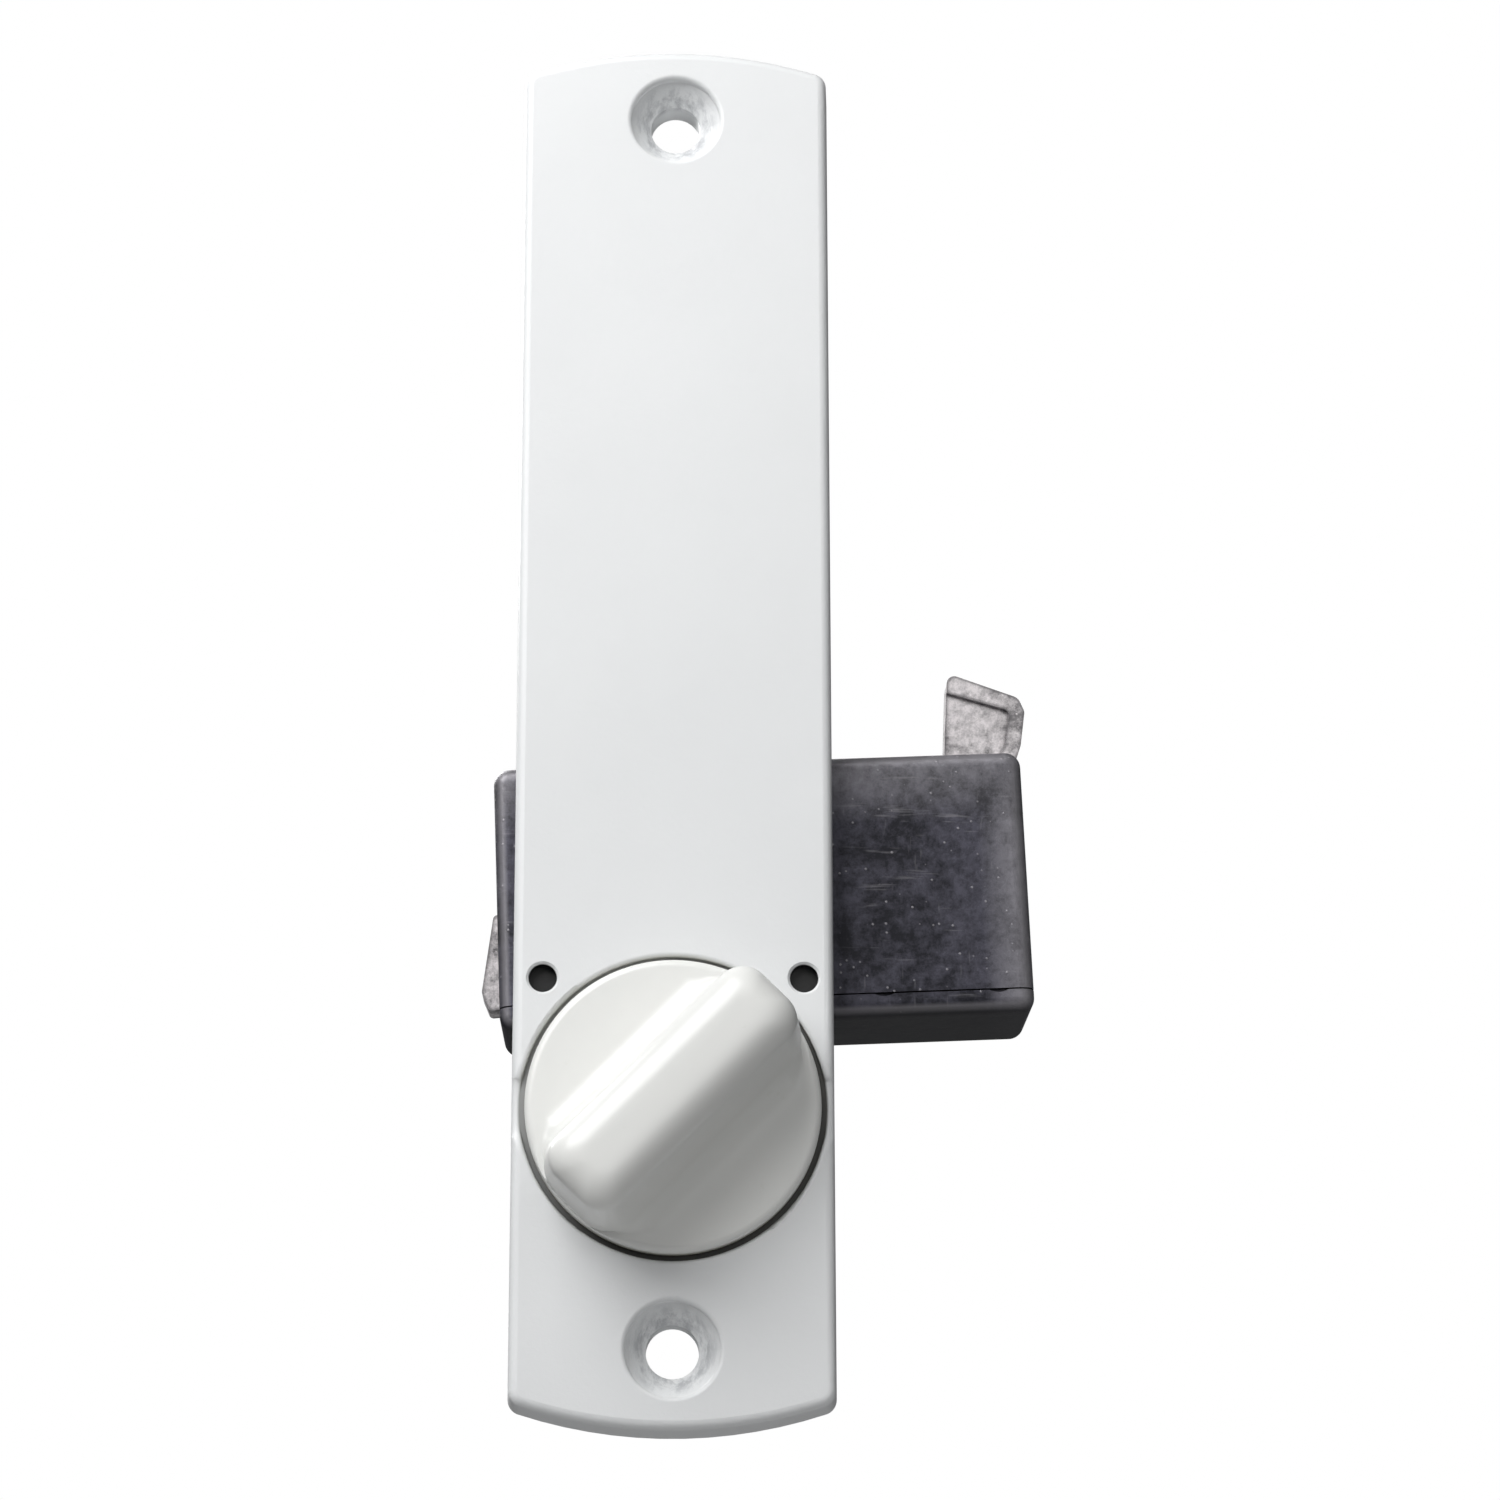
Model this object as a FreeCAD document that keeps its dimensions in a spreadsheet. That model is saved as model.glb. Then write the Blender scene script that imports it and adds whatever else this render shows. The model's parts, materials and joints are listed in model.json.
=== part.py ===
"""Keyed window lock: a cast face plate with a thumb knob, and a hook lock case on its back.

The face plate stands upright, its painted face towards -Y and its back on the plane y = 0.
The origin is midway between the two fixing holes, +Z runs up the plate and +X towards the hook.
Turning the knob a quarter turn anticlockwise swings a crank pin, which rocks the hook lever
clockwise and draws the hook down into the case. A key cylinder behind the plate can turn the
same crank through a cam with a quarter turn of lost motion.
"""
import FreeCAD, Part
import math
import os
import re

import Sketcher

V = FreeCAD.Vector
FRONT = V(0, -1, 0)  # the way the painted face looks; every shaft of the lock lies along it

SIZES = {
    # Face plate.
    "plate_width": 32.0,
    "plate_length": 144.0,
    "plate_depth": 6.0,
    "plate_skin": 2.2,
    "plate_wall": 1.6,
    "plate_corner": 1.5,
    "plate_draft": 3.0,
    "end_rise": 2.7,
    "edge_round": 0.9,
    "rib_thick": 1.4,
    "rib_pitch": 14.6,
    "rib_count": 5,
    # Fixing holes of the plate, for countersunk screws.
    "hole_pitch": 128.0,
    "fix_hole": 5.2,
    "sink_mouth": 9.2,
    "sink_rim": 0.9,
    "rim_round": 0.5,
    "fix_land": 8.0,
    # Position dots of the knob.
    "dot_width": 2.8,
    "dot_reach": 18.2,
    "dot_deep": 1.5,
    "dot_rim": 0.25,
    # Thumb knob.
    "knob_drop": 40.5,
    "disc_margin": 1.5,
    "disc_proud": 1.5,
    "disc_round": 0.8,
    "disc_clear": 0.2,
    "recess_deep": 0.8,
    "recess_gap": 0.5,
    "grip_length": 28.4,
    "grip_width": 10.6,
    "grip_height": 11.5,
    "grip_draft": 6.0,
    "grip_corner": 3.6,
    "grip_round": 2.2,
    "grip_angle": 45.0,
    "neck_width": 12.0,
    "neck_boss": 17.0,
    "neck_end": 0.3,
    "ring_thick": 0.8,
    "ring_bite": 0.9,
    "ring_width": 15.5,
    "washer_thick": 0.35,
    "spindle_side": 4.6,
    "spindle_bury": 9.0,
    # Clearances shared by every fit.
    "running": 0.05,
    "side_gap": 0.3,
    # Crank.
    "crank_front": 2.6,
    "crank_thick": 2.5,
    "crank_width": 16.4,
    "crank_reach": 5.2,
    "pin_width": 3.4,
    # Lock case, measured square to itself and then leaned about the origin.
    "case_lean": 2.2,
    "case_left": 18.5,
    "case_right": 35.1,
    "case_top": 3.9,
    "case_height": 27.1,
    "case_depth": 15.0,
    "case_wall": 1.6,
    "case_skin": 1.8,
    "case_corner": 1.6,
    "case_round": 1.5,
    "part_line": 7.5,
    "strip_height": 2.3,
    "seam_gap": 0.15,
    "post_width": 4.8,
    "fix_left": 12.0,
    "fix_right": 11.5,
    "fix_inset": 4.2,
    "cover_post": 3.8,
    "cover_near": 20.0,
    "cover_far": 31.5,
    "cover_inset": 4.0,
    # Hook lever.
    "pivot_left": 3.5,
    "pivot_drop": 12.3,
    "pivot_width": 4.0,
    "hub_width": 12.0,
    "lever_front": 5.4,
    "lever_thick": 4.0,
    "hook_inset": 7.6,
    "hook_width": 8.8,
    "hook_rise": 9.9,
    "hook_fall": 2.9,
    "hook_lean": 1.0,
    "tail_reach": 1.9,
    "tail_top": 18.0,
    "tail_low": 27.9,
    "arm_width": 7.2,
    "arm_end": 9.6,
    "slot_play": 0.36,
    "slot_spare": 0.35,
    "dish_inset": 1.5,
    "dish_deep": 0.5,
    # Detent.
    "ball_width": 3.0,
    "ball_reach": 14.0,
    "ball_angle": 17.0,
    "ball_bite": 0.35,
    "dimple_extra": 0.25,
    # Hook spring.
    "spring_radius": 3.9,
    "spring_wire": 0.8,
    "spring_pitch": 0.85,
    "spring_leg": 5.0,
    "spring_reach": 12,
    # Screws.
    "screw_width": 2.9,
    "screw_head": 5.4,
    "screw_head_tall": 1.8,
    "small_screw": 1.9,
    "small_head": 3.7,
    "small_head_tall": 1.2,
    # Key cylinder.
    "standoff_reach": 12.0,
    "standoff_width": 5.2,
    "flange_thick": 2.5,
    "flange_width": 31.0,
    "flange_height": 12.0,
    "barrel_width": 17.0,
    "barrel_length": 20.4,
    "chimney_width": 7.0,
    "chimney_drop": 12.0,
    "plug_width": 8.3,
    "plug_head": 10.4,
    "plug_head_thick": 1.4,
    "stub_width": 5.2,
    "stub_flat": 3.8,
    "keyway_width": 1.6,
    "keyway_up": 3.0,
    "keyway_down": 2.6,
    "cam_thick": 2.6,
    "cam_width": 16.0,
    "key_pin_width": 2.5,
    "key_pin_pitch": 3.4,
    "key_pin_first": 5.6,
    "key_pin_count": 4,
    "driver_length": 2.4,
    "strip_thick": 1.2,
}

os.makedirs("parts", exist_ok=True)
doc = FreeCAD.newDocument("window_lock")
sheet = doc.addObject("Spreadsheet::Sheet", "sizes")
for row, (alias, number) in enumerate(SIZES.items(), 1):
    sheet.set(f"A{row}", alias)
    sheet.set(f"B{row}", str(number))
    sheet.setAlias(f"B{row}", alias)
doc.recompute()

nodes = []


# Formulas shared by several pieces. Names of sizes in them are looked up in the sheet.
PLATE_INSIDE = "(plate_skin - plate_depth)"
CASE_BOTTOM = "(-case_top - case_height)"
CASE_BACK = "(case_depth - case_skin)"
RING_BACK = "(-neck_end - 0.2)"
RING_FRONT = f"({RING_BACK} - ring_thick)"
LEVER_BACK = "(lever_front + lever_thick)"
CAM_FRONT = f"({LEVER_BACK} + side_gap)"
CAM_BACK = f"({CAM_FRONT} + cam_thick)"
HOUSING_FRONT = f"({CAM_BACK} + side_gap)"
HOUSING_BACK = f"({HOUSING_FRONT} + barrel_length)"
FLANGE_BACK = f"({HOUSING_FRONT} + flange_thick)"
LEAN_COS = "cos(case_lean * 1deg)"
LEAN_SIN = "sin(case_lean * 1deg)"


def size(name):
    """The number in the sheet's cell of that name."""
    return float(getattr(sheet, name))


def formula(text):
    """Point every size named in a formula at its cell in the sheet."""
    return re.sub(r"[a-z_]+", lambda word: "sizes." + word[0] if word[0] in SIZES else word[0], str(text))


def value(text):
    """Work out a formula now, for the few shapes that are set by code."""
    numbers = {name: size(name) for name in SIZES}
    plain = re.sub(r"\* 1deg", "* math.pi / 180", str(text))
    plain = re.sub(r"[a-z_]+", lambda word: repr(numbers[word[0]]) if word[0] in numbers else word[0], plain)
    return FreeCAD.Units.Quantity(str(plain)).Value


def bind(thing, prop, text):
    """Tie one property to a formula."""
    thing.setExpression(prop, formula(text))


def block(name, x, y, z):
    """A box between a low and a high formula on each axis."""
    solid = doc.addObject("Part::Box", name)
    for prop, side, (low, high) in (("Length", "x", x), ("Width", "y", y), ("Height", "z", z)):
        bind(solid, prop, f"({high}) - ({low})")
        bind(solid, f"Placement.Base.{side}", low)
    return solid


def upright(solid, x, y, z, turn):
    """Stand a primitive at a place given by formulas, turned about X."""
    solid.Placement = FreeCAD.Placement(V(0, 0, 0), FreeCAD.Rotation(V(1, 0, 0), turn))
    for side, text in (("x", x), ("y", y), ("z", z)):
        bind(solid, f"Placement.Base.{side}", text)
    return solid


def rod(name, x, z, width, y):
    """A round bar of that width along Y, between two formulas."""
    solid = doc.addObject("Part::Cylinder", name)
    bind(solid, "Radius", f"({width}) / 2")
    bind(solid, "Height", f"({y[1]}) - ({y[0]})")
    return upright(solid, x, y[0], z, -90)


def taper(name, x, z, widths, y):
    """A cone along Y with a width at each end."""
    solid = doc.addObject("Part::Cone", name)
    bind(solid, "Radius1", f"({widths[0]}) / 2")
    bind(solid, "Radius2", f"({widths[1]}) / 2")
    bind(solid, "Height", f"({y[1]}) - ({y[0]})")
    return upright(solid, x, y[0], z, -90)


def stud(name, y, width, z):
    """A round bar along Z on the plate's middle line."""
    solid = doc.addObject("Part::Cylinder", name)
    bind(solid, "Radius", f"({width}) / 2")
    bind(solid, "Height", f"({z[1]}) - ({z[0]})")
    return upright(solid, "0", y, z[0], 0)


def join(name, *pieces):
    """Several solids as one."""
    whole = doc.addObject("Part::MultiFuse", name)
    whole.Shapes = list(pieces)
    whole.Refine = True
    return whole


def cut(name, base, *tools):
    """A solid less its tools."""
    rest = doc.addObject("Part::Cut", name)
    rest.Base = base
    rest.Tool = tools[0] if len(tools) == 1 else join(name + "_tools", *tools)
    return rest


def overlap(name, first, second):
    """What two solids share."""
    shared = doc.addObject("Part::Common", name)
    shared.Base = first
    shared.Tool = second
    return shared


def group(name, *pieces):
    """Separate solids of one kind, kept apart in one node."""
    bundle = doc.addObject("Part::Compound", name)
    bundle.Links = list(pieces)
    return bundle


def coded(name, shape):
    """A shape that only code can make, as an object of the document."""
    thing = doc.addObject("Part::Feature", name)
    thing.Shape = shape
    thing.Placement = shape.Placement
    return thing


def keep(label, thing, leaned=False):
    """Take an object as a sub-part; the case's own pieces lean together about the origin."""
    thing.Label = label
    if leaned:
        thing.Placement = FreeCAD.Placement(V(0, 0, 0), FreeCAD.Rotation(FRONT, size("case_lean")))
        bind(thing, "Placement.Rotation.Angle", "case_lean")
    nodes.append(thing)
    return thing


def plane(body, role):
    """One of a body's own origin planes."""
    return next(item for item in body.Origin.OriginFeatures if item.Role == role)


def face_sketch(body, name, forward="0", up="0", turn=None):
    """A sketch facing the front, moved forward and up by formulas; its x is X and its y is Z."""
    sketch = body.newObject("Sketcher::SketchObject", name)
    sketch.AttachmentSupport = [(plane(body, "XZ_Plane"), "")]
    sketch.MapMode = "FlatFace"
    bind(sketch, "AttachmentOffset.Base.z", forward)
    bind(sketch, "AttachmentOffset.Base.y", up)
    if turn:
        bind(sketch, "AttachmentOffset.Rotation.Angle", turn)
    return sketch


def rule(sketch, kind, places, text=None):
    """Add a sketch constraint and tie its number to a formula."""
    if text is None:
        return sketch.addConstraint(Sketcher.Constraint(kind, *places))
    index = sketch.addConstraint(Sketcher.Constraint(kind, *places, value(text)))
    bind(sketch, f"Constraints[{index}]", text)
    return index


def circle(sketch, width, up="0"):
    """A circle on the sketch's upright axis, with its height and width from formulas."""
    index = sketch.addGeometry(Part.Circle(V(0, value(up), 0), V(0, 0, 1), value(width) / 2), False)
    rule(sketch, "PointOnObject", (index, 3, -2))
    if up == "0":
        rule(sketch, "PointOnObject", (index, 3, -1))
    else:
        rule(sketch, "DistanceY", (-1, 1, index, 3), up)
    rule(sketch, "Radius", (index,), f"({width}) / 2")


def rectangle(sketch, width, height):
    """A rectangle centred on the sketch's origin."""
    x, y = value(width) / 2, value(height) / 2
    corners = [V(-x, -y, 0), V(x, -y, 0), V(x, y, 0), V(-x, y, 0)]
    for start, end in zip(corners, corners[1:] + corners[:1]):
        sketch.addGeometry(Part.LineSegment(start, end), False)
    for index in range(4):
        rule(sketch, "Coincident", (index, 2, (index + 1) % 4, 1))
        rule(sketch, ("Horizontal", "Vertical")[index % 2], (index,))
    rule(sketch, "Symmetric", (0, 1, 2, 1, -1, 1))
    rule(sketch, "DistanceX", (0, 1, 0, 2), width)
    rule(sketch, "DistanceY", (1, 1, 1, 2), height)


def pad(body, name, sketch, length, draft=None):
    """Raise a sketch towards the front, with its walls leaning in by the draft."""
    raised = body.newObject("PartDesign::Pad", name)
    raised.Profile = sketch
    bind(raised, "Length", length)
    if draft:
        bind(raised, "TaperAngle", f"-({draft})")
    doc.recompute()
    return raised


def pocket(body, name, sketch, length):
    """Sink a sketch on the front of a body back into it."""
    before = body.Shape.Volume
    sunk = body.newObject("PartDesign::Pocket", name)
    sunk.Profile = sketch
    bind(sunk, "Length", length)
    doc.recompute()
    if body.Shape.Volume >= before:
        sunk.Reversed = True
        doc.recompute()
    return sunk


def round_off(body, name, radius, chosen):
    """Round the edges of a body's latest feature that a test picks out."""
    last = body.Tip
    picked = [f"Edge{n}" for n, edge in enumerate(last.Shape.Edges, 1) if chosen(edge)]
    rounding = body.newObject("PartDesign::Fillet", name)
    rounding.Base = (last, picked)
    bind(rounding, "Radius", radius)
    doc.recompute()
    return rounding


def runs_along_y(edge):
    """Whether an edge runs more or less front to back."""
    box = edge.BoundBox
    return box.YLength > 3 * max(box.XLength, box.ZLength)


def lies_at(edge, y):
    """Whether a whole edge lies in the plane at that y."""
    return abs(edge.BoundBox.YMin - y) < 1e-4 and abs(edge.BoundBox.YMax - y) < 1e-4


def leaned(x, z):
    """Formulas for where a point of the case comes once the case leans."""
    return f"({x}) * {LEAN_COS} - ({z}) * {LEAN_SIN}", f"({x}) * {LEAN_SIN} + ({z}) * {LEAN_COS}"


# Where the case is screwed to the plate, and where its cover is screwed on, in the case's own frame.
CASE_FIXINGS = {
    "left": ("-fix_left", "-case_top - fix_inset"),
    "right": ("fix_right", f"{CASE_BOTTOM} + fix_inset + 0.6"),
}
COVER_FIXINGS = {
    "near": ("cover_near", f"{CASE_BOTTOM} + cover_inset"),
    "far": ("cover_far", f"{CASE_BOTTOM} + cover_inset"),
}
KNOB = ("0", "-knob_drop")
DISC_WIDTH = "(plate_width - 2 * disc_margin)"
PIVOT = ("-pivot_left", "-pivot_drop")


# Face plate -------------------------------------------------------------------------------------

def plate_outline(body):
    """The plate's outline: two straight sides and two shallow arcs for ends."""
    sketch = face_sketch(body, "plate_outline")
    half, side = value("plate_width / 2"), value("plate_length / 2 - end_rise")
    radius_text = "(plate_width * plate_width / 4 + end_rise * end_rise) / (2 * end_rise)"
    radius = value(radius_text)
    spread = math.asin(half / radius)
    low = value("plate_length / 2") - radius
    ends = (math.pi / 2 - spread, math.pi / 2 + spread)
    sketch.addGeometry(Part.LineSegment(V(half, -side, 0), V(half, side, 0)), False)
    sketch.addGeometry(Part.ArcOfCircle(Part.Circle(V(0, low, 0), V(0, 0, 1), radius), *ends), False)
    sketch.addGeometry(Part.LineSegment(V(-half, side, 0), V(-half, -side, 0)), False)
    ends = (ends[0] + math.pi, ends[1] + math.pi)
    sketch.addGeometry(Part.ArcOfCircle(Part.Circle(V(0, -low, 0), V(0, 0, 1), radius), *ends), False)
    for index in range(4):
        rule(sketch, "Coincident", (index, 2, (index + 1) % 4, 1))
    rule(sketch, "Vertical", (0,))
    rule(sketch, "Vertical", (2,))
    rule(sketch, "Symmetric", (0, 1, 2, 1, -1, 1))
    rule(sketch, "DistanceX", (2, 1, 0, 2), "plate_width")
    rule(sketch, "DistanceY", (0, 1, 0, 2), "plate_length - 2 * end_rise")
    rule(sketch, "Radius", (1,), radius_text)
    rule(sketch, "Radius", (3,), radius_text)
    return sketch


def plate_blank():
    """The plate's solid outside: drafted walls, soft edges, sunk screw seats and a sunk knob seat."""
    body = doc.addObject("PartDesign::Body", "plate_blank")
    front = -size("plate_depth")
    pad(body, "plate_slab", plate_outline(body), "plate_depth", "plate_draft")
    round_off(body, "plate_corners", "plate_corner", runs_along_y)
    round_off(body, "plate_edge", "edge_round", lambda edge: lies_at(edge, front))
    seats = face_sketch(body, "screw_seats", "plate_depth")
    circle(seats, "sink_mouth", "hole_pitch / 2")
    circle(seats, "sink_mouth", "-hole_pitch / 2")
    pocket(body, "screw_seat", seats, "sink_rim")
    seat = face_sketch(body, "knob_seat_circle", "plate_depth")
    circle(seat, f"{DISC_WIDTH} + 2 * recess_gap", "-knob_drop")
    pocket(body, "knob_seat", seat, "recess_deep")
    widest = value(f"{DISC_WIDTH} / 2 + recess_gap + 0.1")
    round_off(body, "seat_rims", "rim_round",
              lambda edge: lies_at(edge, front) and edge.Curve.TypeId == "Part::GeomCircle"
              and edge.Curve.Radius < widest)
    return body


def plate_bosses():
    """Ribs and screw bosses inside the plate's hollow back."""
    inside = (PLATE_INSIDE, "0")
    pieces = [rod("neck_boss_blank", *KNOB, "neck_boss",
                  (PLATE_INSIDE, f"{RING_FRONT} - washer_thick - 0.1"))]
    for side, sign in (("left", "-"), ("right", "")):
        pieces.append(rod(f"post_boss_{side}", f"{sign}standoff_reach", "-knob_drop", "standoff_width",
                          inside))
    for side, place in CASE_FIXINGS.items():
        pieces.append(rod(f"case_boss_{side}", *leaned(*place), "post_width", inside))
    for number in range(int(size("rib_count"))):
        height = f"hole_pitch / 2 - fix_land - {number + 1} * rib_pitch"
        pieces.append(block(f"cross_rib_{number + 1}", ("-plate_width / 2 + plate_wall / 2",
                                                        "plate_width / 2 - plate_wall / 2"),
                            inside, (f"{height} - rib_thick / 2", f"{height} + rib_thick / 2")))
    low = "hole_pitch / 2 - fix_land - rib_count * rib_pitch"
    pieces.append(block("long_rib", ("-rib_thick / 2", "rib_thick / 2"), inside,
                        (low, "hole_pitch / 2 - fix_land + 1")))
    return pieces


def face_plate():
    """The plate with its hollow back, bosses, screw holes, knob bore and position dots."""
    room = block("plate_hollow", ("-plate_width / 2 + plate_wall", "plate_width / 2 - plate_wall"),
                 (PLATE_INSIDE, "1"), ("-hole_pitch / 2 + fix_land", "hole_pitch / 2 - fix_land"))
    solid = join("plate_cast", cut("plate_shell", plate_blank(), room), *plate_bosses())
    holes = [rod("neck_bore", *KNOB, "neck_width + 2 * running", ("-plate_depth - 1", "1"))]
    for side, sign in (("top", ""), ("low", "-")):
        height = f"{sign}hole_pitch / 2"
        sink = ("sink_rim - plate_depth", "sink_rim - plate_depth + (sink_mouth - fix_hole) / 2")
        holes.append(taper(f"sink_{side}", "0", height, ("sink_mouth", "fix_hole"), sink))
        holes.append(rod(f"fixing_hole_{side}", "0", height, "fix_hole", ("-plate_depth - 1", "1")))
    for side, sign in (("left", "-"), ("right", "")):
        dot = (f"{sign}dot_reach * cos(45deg)", "-knob_drop + dot_reach * sin(45deg)")
        holes.append(rod(f"dot_{side}", *dot, "dot_width", ("-plate_depth - 1", "-plate_depth + dot_deep")))
        holes.append(taper(f"dot_rim_{side}", *dot, ("dot_width + 2 * dot_rim", "dot_width"),
                           ("-plate_depth", "-plate_depth + dot_rim")))
        holes.append(rod(f"post_pilot_{side}", f"{sign}standoff_reach", "-knob_drop",
                         "screw_width + 2 * running", (f"{PLATE_INSIDE} + 0.2", "1")))
    for side, place in CASE_FIXINGS.items():
        holes.append(rod(f"case_pilot_{side}", *leaned(*place), "screw_width + 2 * running",
                         (f"{PLATE_INSIDE} + 0.2", "1")))
    keep("plate", cut("face_plate", solid, *holes))


# Knob, spindle and crank ------------------------------------------------------------------------

def knob():
    """The moulded thumb knob: a flat disc, a tall tapered grip across it and a round neck."""
    body = doc.addObject("PartDesign::Body", "knob_top")
    top = value("-plate_depth - disc_proud - grip_height")
    disc = face_sketch(body, "disc_circle", "plate_depth - recess_deep + disc_clear", "-knob_drop")
    circle(disc, DISC_WIDTH)
    pad(body, "disc", disc, "disc_proud + recess_deep - disc_clear")
    rim = value("-plate_depth - disc_proud")
    round_off(body, "disc_edge", "disc_round", lambda edge: lies_at(edge, rim))
    bar = doc.addObject("PartDesign::Body", "grip_bar")
    grip = face_sketch(bar, "grip_base", "plate_depth + disc_proud - 0.4", "-knob_drop", "grip_angle")
    rectangle(grip, "grip_length", "grip_width")
    pad(bar, "grip", grip, "grip_height + 0.4", "grip_draft")
    round_off(bar, "grip_ends", "grip_corner", runs_along_y)
    round_off(bar, "grip_top", "grip_round", lambda edge: lies_at(edge, top))
    neck = rod("neck", *KNOB, "neck_width", ("-plate_depth - 0.1", "-neck_end"))
    half = "spindle_side / 2"
    socket = spindle_block("spindle_socket", ("-plate_depth - spindle_bury", "1"), half)
    groove = cut("ring_groove", rod("groove_out", *KNOB, "neck_width + 2",
                                    (f"{RING_FRONT} - 0.05", f"{RING_BACK} + 0.05")),
                 rod("groove_in", *KNOB, "neck_width - 2 * ring_bite",
                     (f"{RING_FRONT} - 1", f"{RING_BACK} + 1")))
    keep("knob", cut("thumb_knob", join("knob_whole", body, bar, neck), socket, groove))


def spindle_block(name, y, half):
    """A square bar on the knob's axis, between two formulas along Y."""
    return block(name, (f"-{half}", half), y, (f"-knob_drop - {half}", f"-knob_drop + {half}"))


def spindle():
    """The square steel bar that joins knob and crank."""
    keep("spindle", spindle_block("spindle_bar", ("-plate_depth - spindle_bury", "crank_front + crank_thick"),
                                  "spindle_side / 2"))


def retaining_ring():
    """The open clip in the neck's groove, and the spring washer under it."""
    face = (RING_FRONT, RING_BACK)
    ring = cut("clip", rod("clip_out", *KNOB, "ring_width", face),
               rod("clip_in", *KNOB, "neck_width - 2 * ring_bite + 2 * running", (f"{RING_FRONT} - 1", "1")),
               block("clip_mouth", ("-neck_width / 2 + ring_bite", "neck_width / 2 - ring_bite"),
                     (f"{RING_FRONT} - 1", "1"), ("-knob_drop - ring_width", "-knob_drop - ring_bite")))
    keep("retaining_ring", ring)
    room = (f"{RING_FRONT} - washer_thick - 0.05", f"{RING_FRONT} - 0.05")
    washer = cut("washer", rod("washer_out", *KNOB, "ring_width - 0.4", room),
                 rod("washer_in", *KNOB, "neck_width + 4 * running", (f"{RING_FRONT} - 2", "1")))
    keep("spring_washer", washer)


def crank():
    """The disc on the spindle's end and the pin that drives the lever."""
    span = ("crank_front", "crank_front + crank_thick")
    x, z = crank_pin_formulas()
    disc = rod("crank_blank", *KNOB, "crank_width", span)
    hole = spindle_block("crank_square", ("crank_front - 1", "crank_front + crank_thick + 1"),
                         "spindle_side / 2")
    seat = rod("crank_pin_hole", x, z, "pin_width", ("crank_front - 1", "crank_front + crank_thick + 1"))
    keep("crank_disc", cut("crank", disc, hole, seat))
    keep("drive_pin", rod("drive_pin_bar", x, z, "pin_width", ("crank_front", f"{CAM_BACK} - 0.3")))


def crank_middle():
    """The way from the knob's axis to the lever's pivot, in degrees anticlockwise from +Z."""
    x, z = lever_pivot()
    return math.degrees(math.atan2(-x, z + size("knob_drop")))


def lever_pivot():
    """Where the lever's pivot comes once the case leans."""
    turn = math.radians(size("case_lean"))
    x, z = -size("pivot_left"), -size("pivot_drop")
    return x * math.cos(turn) - z * math.sin(turn), x * math.sin(turn) + z * math.cos(turn)


def crank_pin_formulas():
    """Formulas for the pin's centre at rest, an eighth of a turn clockwise of the pivot's direction."""
    px, pz = leaned(*PIVOT)
    toward = f"atan2(-({px}); ({pz}) + knob_drop) - 45deg"
    return f"-crank_reach * sin({toward})", f"-knob_drop + crank_reach * cos({toward})"


# Lock case --------------------------------------------------------------------------------------

def case_block(name):
    """The whole case as one soft-edged block."""
    body = doc.addObject("PartDesign::Body", name)
    sketch = face_sketch(body, name + "_face", "-case_depth")
    x = (value("-case_left"), value("case_right"))
    z = (value(CASE_BOTTOM), value("-case_top"))
    corners = [V(x[0], z[0], 0), V(x[1], z[0], 0), V(x[1], z[1], 0), V(x[0], z[1], 0)]
    for start, end in zip(corners, corners[1:] + corners[:1]):
        sketch.addGeometry(Part.LineSegment(start, end), False)
    for index in range(4):
        rule(sketch, "Coincident", (index, 2, (index + 1) % 4, 1))
        rule(sketch, ("Horizontal", "Vertical")[index % 2], (index,))
    rule(sketch, "DistanceX", (0, 1, -1, 1), "case_left")
    rule(sketch, "DistanceX", (0, 1, 0, 2), "case_left + case_right")
    rule(sketch, "DistanceY", (2, 1, -1, 1), "case_top")
    rule(sketch, "DistanceY", (1, 1, 1, 2), "case_height")
    pad(body, name + "_slab", sketch, "case_depth")
    round_off(body, name + "_corners", "case_corner", runs_along_y)
    round_off(body, name + "_front", "case_round", lambda edge: lies_at(edge, 0))
    back = size("case_depth")
    round_off(body, name + "_back", "case_corner / 2", lambda edge: lies_at(edge, back))
    return body


def case_room():
    """The space inside the case."""
    return (("-case_left + case_wall", "case_right - case_wall"), ("case_skin", CASE_BACK),
            (f"{CASE_BOTTOM} + strip_height", "-case_top - case_wall"))


def lever_ways(name):
    """The slots that let the hook, the tail and the drive arm through the case's walls."""
    deep = ("lever_front - side_gap", f"{LEVER_BACK} + side_gap")
    hook = block(name + "_hook_way", ("case_right - hook_inset - 0.4", "case_right + 2"), deep,
                 ("-case_top - hook_rise - 5.8", "-case_top + 2"))
    tail = block(name + "_tail_way", ("-case_left - 2", "-case_left + case_wall + 0.1"), deep,
                 ("-tail_low - 0.4", "-tail_top + 5.8"))
    arm = block(name + "_arm_way", ("-pivot_left - 5.8", "-pivot_left + 9.4"), deep,
                (f"{CASE_BOTTOM} - 1", f"{CASE_BOTTOM} + strip_height + 0.1"))
    return hook, tail, arm


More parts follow.
